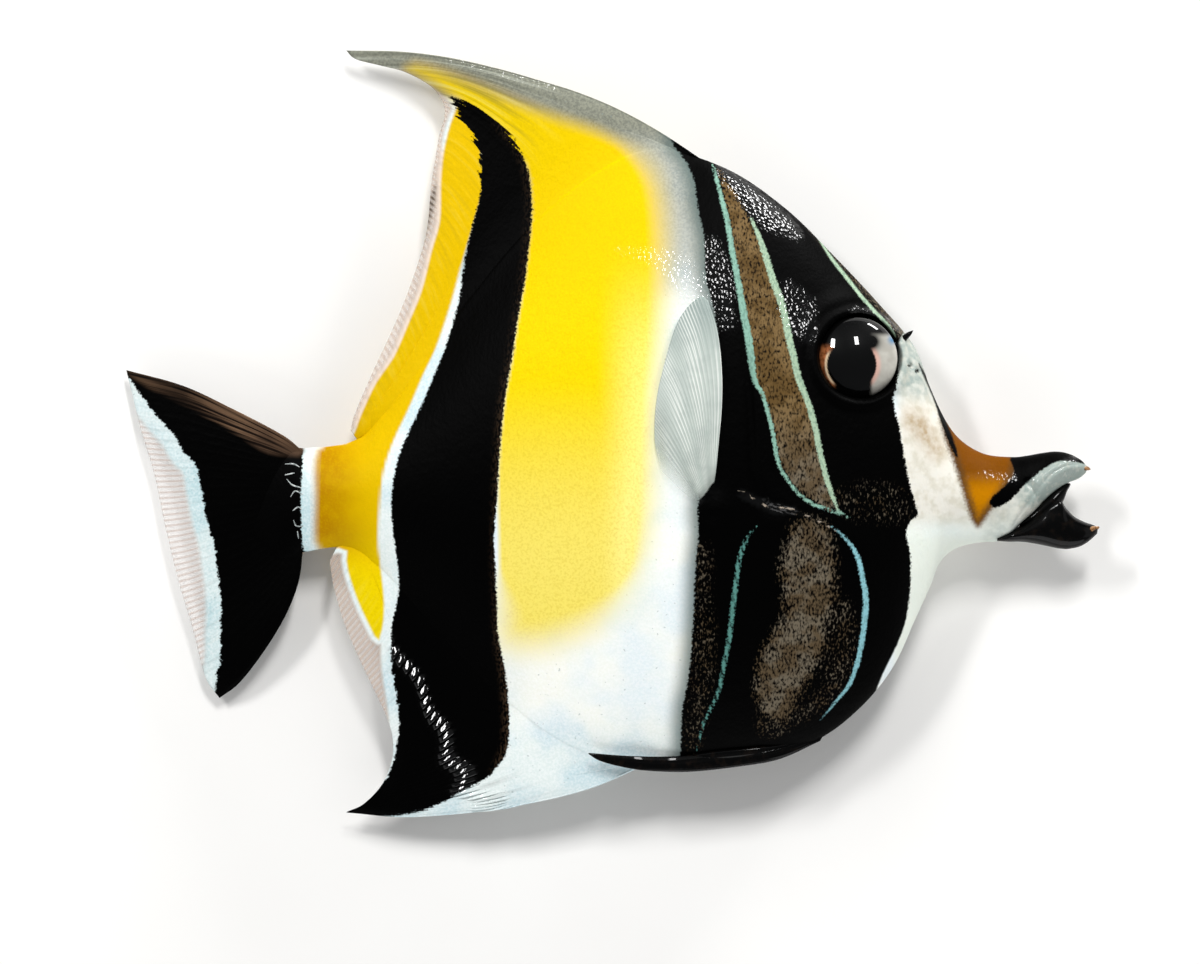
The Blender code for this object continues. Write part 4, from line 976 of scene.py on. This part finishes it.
def make_scale_edges():
    """Thin round ridges along the edges of the last scales before the tail fin: a circle carried
    along each edge's curve, narrower towards both ends."""
    rows = 12
    angle = ring_angles(8)
    radius = 0.03 + 0.05 * np.sin(math.pi * np.linspace(0, 1, rows))[:, None]
    for number, edge in enumerate(SCALE_EDGES):
        x, y = smooth_line(edge, rows).T[:, :, None]
        along = unit(np.gradient(np.hstack([x, y]), axis=0))
        level = midplane_height(x) + flank_rise(x, y)
        grid = np.stack([x - along[:, 1:] * radius * np.cos(angle),
                         y + along[:, :1] * radius * np.cos(angle),
                         level + radius * np.sin(angle)], axis=-1)
        put_tube("scale_edge_%d" % number, grid, SCALE_EDGE_AND_HIGHLIGHT, "skin")


# Fins

def strand(fin, u):
    """A number that grows across the rays, at a third of the pace where they run together
    behind the leading edge."""
    bunch = fin["bunch"]
    return fin["rays"] * (np.maximum(u - bunch, 0) + 0.33 * np.minimum(u, bunch))


def ray_ridge(u, v, rays, fork):
    """How high the rays stand: each is a narrow ridge that forks in two past a point."""
    off = u * rays - np.round(u * rays)
    spread = 0.25 * ease(fork, 1, v)
    ridge = np.exp(-((off - spread) / 0.13) ** 2) + np.exp(-((off + spread) / 0.13) ** 2)
    return np.minimum(ridge, 1)


def make_fin(name, node, fin, level, rows, thin, knuckles, fork, clear):
    """A fin's membrane from inside the flesh to its margin, with its rays raised on both faces
    and a spine along its leading edge. Its rays may have knuckles where they leave the sheath:
    each is a low dome over a plane that leans up and back, cut off beside the ray and at its
    two ends."""
    rays = fin["rays"]
    sheath = fin["sheath"]
    clear_from, clear_to, clear_front, yellow_line = clear
    v, u = fin_shares(rows, 10 * rays + 1)
    plan = patch(fin, u, v)
    inward = unit(plan[0] - patch(fin, u[0], v[0] + 0.03))
    inside = plan[0] + 0.8 * inward * ease(0, 0.06, u[0])[:, None]
    plan = np.concatenate([inside[None], plan])
    u = np.concatenate([u[:1], u])
    v = np.concatenate([v[:1], v])
    ridge = ray_ridge(u, v, rays, fork) * ease(0.9 * sheath, sheath + 0.25, v)
    edge = within((u, 0, 0.012), (u, 1, 0.985))
    rim = 1 - 0.6 * ease(0.86, 1, v)
    root = np.round(u * rays) / rays
    off = (u - root) * rays
    row = sheath + 0.07 + 0.03 * np.sin(37 * root)
    away = plan - patch(fin, root, row)
    facet = (0.27 + away @ KNUCKLE_LEAN - 0.09 * (away ** 2).sum(axis=-1)
             - level(fin, u, v) + level(fin, root, row))
    knuckle = (knuckles * np.clip(facet, 0, 0.7)
               * within((off, -0.47, -0.38), (off, 0.47, 0.38), (u, 0.78, 0.7))
               * np.exp(-((v - row) / 0.08) ** 6))
    spine = 0.1 * np.exp(-((u - 0.006) / 0.005) ** 2) * ease(1, 0.8, v)
    half = (thin + RAY_HEIGHT * ridge * (1 - 0.5 * v) + knuckle) * rim * (0.35 + 0.65 * edge)
    points = sheet_points(lifted(plan, level(fin, u, v)), half + spine)
    shares = markings(points, thin=True)
    solid = np.maximum(shares["black"], shares["yellow_edge"] + yellow_line)
    reach = on_both(v)
    across = on_both(u)
    bare = reach - sheath * ease(1, 0.85, across)
    bead = np.clip(on_both(knuckle / 0.05), 0, 1)
    middle_of_bead = on_both(np.exp(-((v - row) / 0.055) ** 6))
    shares.update(
        clear=within((-solid, clear_from, clear_to), (bare, 0, 0.1),
                     (across, 0.5 * clear_front, clear_front + 0.01)),
        ray=on_both(u * rays), strand=on_both(strand(fin, u)), reach=reach, bead=bead,
        wet=np.maximum(shares["wet"], 1.5 * bead * middle_of_bead))
    put_sheet(name, points, *u.shape, MEMBRANE, name, (node,), shares)


def make_pectoral(name, side):
    """A pectoral fin, laid along the right flank or flat on the floor under the left one."""
    v, u = fin_shares(70, 8 * PECTORAL["rays"] + 1)
    plan = patch(PECTORAL, u, v)
    x, y = plan[..., 0], plan[..., 1]
    ridge = ray_ridge(u, v, PECTORAL["rays"], 0.45)
    half = (0.1 + 0.05 * ridge * (1 - 0.4 * v)) * (1 - 0.5 * ease(0.9, 1, v))
    level = half
    if side > 0:
        rise = flank_rise(x, y, with_relief=True) - 0.3 + 0.42 * ease(0, 0.14, v)
        level = midplane_height(x) + rise + 0.55 * np.sin(math.pi * v * 0.8) ** 2
    points = sheet_points(lifted(plan, level), half)
    fade = ease(1, 0.55, u) * (0.55 + 0.45 * ease(0, 0.2, v))
    fade = np.maximum(fade, 0.6 * within((v, 0.75, 0.95), (u, 1, 0.8)))
    shares = {
        "ridge": on_both(ridge * (0.4 + 0.6 * np.sin(11 * u + 3 * v) ** 2)),
        "cover": 0.12 + 0.75 * on_both(np.minimum(fade, 1)),
        "low": ease(13, 5, points[:, 1]),
    }
    put_sheet("pectoral_rays_" + name, points, *u.shape, PECTORAL_SKIN, "pectoral_membrane",
              ("pectoral_fin_" + name,), shares)


def make_pelvic(name, side):
    """A slender pelvic fin that leaves the belly's keel and is folded back along it: a blade whose
    section is a flat oval, thinner towards its tip."""
    v, u = fin_shares(110, 8 * PELVIC["rays"] + 1)
    plan = patch(PELVIC, u, v)
    x, y = plan[..., 0], plan[..., 1]
    ridge = ray_ridge(u, v, PELVIC["rays"], 0.6)
    half = 0.1 + 0.3 * np.sqrt(np.sin(math.pi * u)) + 0.015 * ridge
    half = half * (1 - 0.7 * ease(0.6, 1, v)) * (0.3 + 0.7 * ease(0, 0.2, v))
    rise = np.maximum(0.9 + 0.6 * ease(7, 2, x), flank_rise(x, y)) + 0.2
    level = midplane_height(x) + side * rise * ease(-0.05, 0.3, v)
    put_sheet("pelvic_blade_" + name, sheet_points(lifted(plan, level), half), *u.shape,
              BLACK_SKIN, "pelvic_membrane", ("pelvic_fin_" + name,))


# The head's small parts

def make_jaw_piece(name, rings, lip, nodes=()):
    """Rings between an upper and a lower line, each an oval as wide as its knot says, with a
    fuller lip along the upper line."""
    ux, uy, lx, ly, width = smooth_line(rings, 120).T[:, :, None]
    angle = ring_angles(72)
    along = 0.5 * (1 - np.cos(angle))
    x = ux + (lx - ux) * along
    y = uy + (ly - uy) * along
    fuller = lip * np.exp(-((along - 0.12) / 0.1) ** 2) * ease(42.5, 44, x)
    side = np.sign(np.sin(angle)) * np.abs(np.sin(angle)) ** 0.8 * (width + fuller)
    grid = np.stack([x, y, midplane_height(x) + side], axis=-1)
    put_tube(name, grid, BLACK_SKIN, "skin", nodes)


def cone_grid(base, tip, base_radius, tip_radius, rows=14, ring=16, deep=1):
    """A cone from a base to a tip: the radius falls as a power of the height, and the section may
    be deeper than it is wide."""
    axis = np.subtract(tip, base)
    across = unit(np.cross(axis, [0, 0, 1]))
    over = np.cross(across, unit(axis))
    t = np.linspace(0, 1, rows)[:, None]
    angle = ring_angles(ring)[..., None]
    radius = base_radius + (tip_radius - base_radius) * t ** 0.7
    radius = radius * np.sqrt(1 - ease(0.8, 1, t) * 0.97)
    return ((base + axis * t)[:, None, :]
            + radius[..., None] * (deep * np.cos(angle) * across + np.sin(angle) * over))


def make_teeth():
    """Slender brown teeth side by side at the tips of both jaws."""
    level = midplane_height(47)
    for jaw, base, tip in (("upper", (46.9, -3.35), (48.1, -3.75)),
                           ("lower", (47.9, -9.9), (49, -9.5))):
        for number in range(TEETH):
            place = number - TEETH // 2
            across = 0.24 * place
            back = 0.12 * abs(place)
            grid = cone_grid((base[0] - back, base[1], level + across),
                             (tip[0] - back, tip[1], level + 1.15 * across), 0.14, 0.04, deep=3.4)
            put_tube("%s_tooth_%d" % (jaw, number), grid, ENAMEL, "skin")


def make_brow_spine(name, side):
    """The small horny spine before an eye, at the outline of the brow."""
    level = midplane_height(29.5)
    grid = cone_grid((28.5, 8.6, level + side * 1.1), (30.2, 10.1, level + side * 1.9),
                     0.62, 0.14, 24, 24)
    put_tube("brow_spine_" + name, grid, BLACK_SKIN, "skin")


def make_eye(name, side):
    """An eyeball let into its socket: a flattened ball whose front bulges, with its iris and
    pupil as shares of its points."""
    node = "eye_" + name
    low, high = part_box(node)
    centre = (np.array(low) + np.array(high)) / (2 * MM)
    reach = 2
    x = EYE_CENTRE[0] + reach * np.array([1, -1, 0, 0])
    y = EYE_CENTRE[1] + reach * np.array([0, 0, 1, -1])
    right, left, up, down = flank_rise(x, y)
    lean = 0.2 / (2 * reach)
    normal = unit(np.array([lean * (left - right), lean * (down - up), 1]))
    across = unit(np.cross([0, 1, 0], normal))
    over = np.cross(normal, across)
    polar = np.linspace(0.02, math.pi - 0.02, 90)[:, None, None]
    angle = ring_angles(120)[..., None]
    radius = EYE_RADIUS * np.sin(polar)
    front = EYE_DEPTH * np.cos(polar) * (1 + 0.12 * ease(0.9, 0.2, polar))
    grid = radius * np.cos(angle) * across + radius * np.sin(angle) * over + front * normal
    grid = grid * [1, 1, side] + centre
    x, y = tube_points(grid)[:, :2].T
    pupil = np.hypot(x - PUPIL_CENTRE[0], y - PUPIL_CENTRE[1])
    iris = ease(4.1, 3.85, np.hypot(x - EYE_CENTRE[0], y - EYE_CENTRE[1]))
    shares = {
        "pupil": ease(2.5, 2.4, pupil),
        "copper": iris * within((x, 22.4, 21.9), (y, 8.8, 8), (y, 3.5, 4.4), (pupil, 4, 3.3)),
        "cream": within((pupil, 2.72, 2.6), (x, 22.4, 21.9), (y, 8.2, 7.4), (y, 4.2, 5)),
        "silver": iris * within((x, 25.7, 26.1), (y, 9.9, 9.2), (y, 3.2, 3.7))
                  * (1 - np.minimum(1.6 * bump(x, y, (25.9, 8.9), 0.8), 1)),
        "pink": 0.8 * within((pupil, 3.1, 2.6), (y, 3.8, 5)),
        "blue": bump(x, y, (28, 9.1), 0.4),
    }
    put_tube("eyeball_" + name, grid, EYE, "eye", (node,), shares)


def on_flanks(make):
    for name, side in (("right", 1), ("left", -1)):
        make(name, side)


make_skin()
make_scale_edges()
# After the level come the rows, half of the thickness, the knuckles, where the rays fork, and
# where the membrane is clear: from how far outside the black and yellow to how far, past which
# share of the fin, and how much further the yellow reaches
make_fin("dorsal_membrane", "dorsal_fin", DORSAL, median_level, 76, 0.17, 0, 0.6,
         (0.1, 0.7, 0.3, 0))
make_fin("anal_membrane", "anal_fin", ANAL, median_level, 76, 0.17, 1, 0.7,
         (0.8, 1.3, 0.5, -0.55))
make_fin("caudal_membrane", "caudal_fin", TAIL, tail_level, 90, 0.2, 0, 0.5, (1.2, 1.9, 0, 0))
on_flanks(make_pectoral)
on_flanks(make_pelvic)
make_jaw_piece("chin_and_lip", CHIN_RINGS, 0.22, ("lower_jaw",))
make_jaw_piece("mouth_corner", MOUTH_RINGS, 0)
make_teeth()
on_flanks(make_brow_spine)
on_flanks(make_eye)


# The setting

def lay_floor():
    """A plain pale floor, big enough to fill the views from low down."""
    mesh = bpy.data.meshes.new("floor")
    corners = [(x * FLOOR_REACH, y * FLOOR_REACH, 0)
               for x, y in ((-1, -1), (1, -1), (1, 1), (-1, 1))]
    mesh.from_pydata(corners, [], [(0, 1, 2, 3)])
    mesh.materials.append(CARD)
    floor = put_object("floor", mesh)


def light_room():
    """A dim even world, and rectangular lamps that face the fish, their second sides turned
    towards the photo's top."""
    world = bpy.data.worlds.new("studio")
    bpy.context.scene.world = world
    world.use_nodes = True
    set_inputs(world.node_tree, world.node_tree.nodes["Background"],
               {"Color": "#eef2f6", "Strength": 0.2})
    for name, place, width, height, energy in LAMPS:
        lamp = bpy.data.lights.new(name, "AREA")
        lamp.shape = "RECTANGLE"
        lamp.size, lamp.size_y, lamp.energy = width, height, energy
        item = put_object(name, lamp)
        item.location = place
        away = Vector(place).normalized()
        up = (Vector((0, 1, 0)) - away * away.y).normalized()
        item.rotation_mode = "QUATERNION"
        item.rotation_quaternion = Matrix((up.cross(away), up, away)).transposed().to_quaternion()


def place_camera():
    lens = bpy.data.cameras.new("camera")
    lens.sensor_width = SENSOR_WIDTH
    lens.lens = SENSOR_WIDTH * VIEW_DISTANCE / VIEW_WIDTH
    lens.clip_start = 0.01
    camera = put_object("camera", lens)
    camera.location = (VIEW_CENTRE[0] * MM, VIEW_CENTRE[1] * MM, (VIEW_DISTANCE + MIDPLANE) * MM)
    bpy.context.scene.camera = camera


lay_floor()
light_room()
place_camera()
bpy.context.scene.view_settings.view_transform = "Standard"
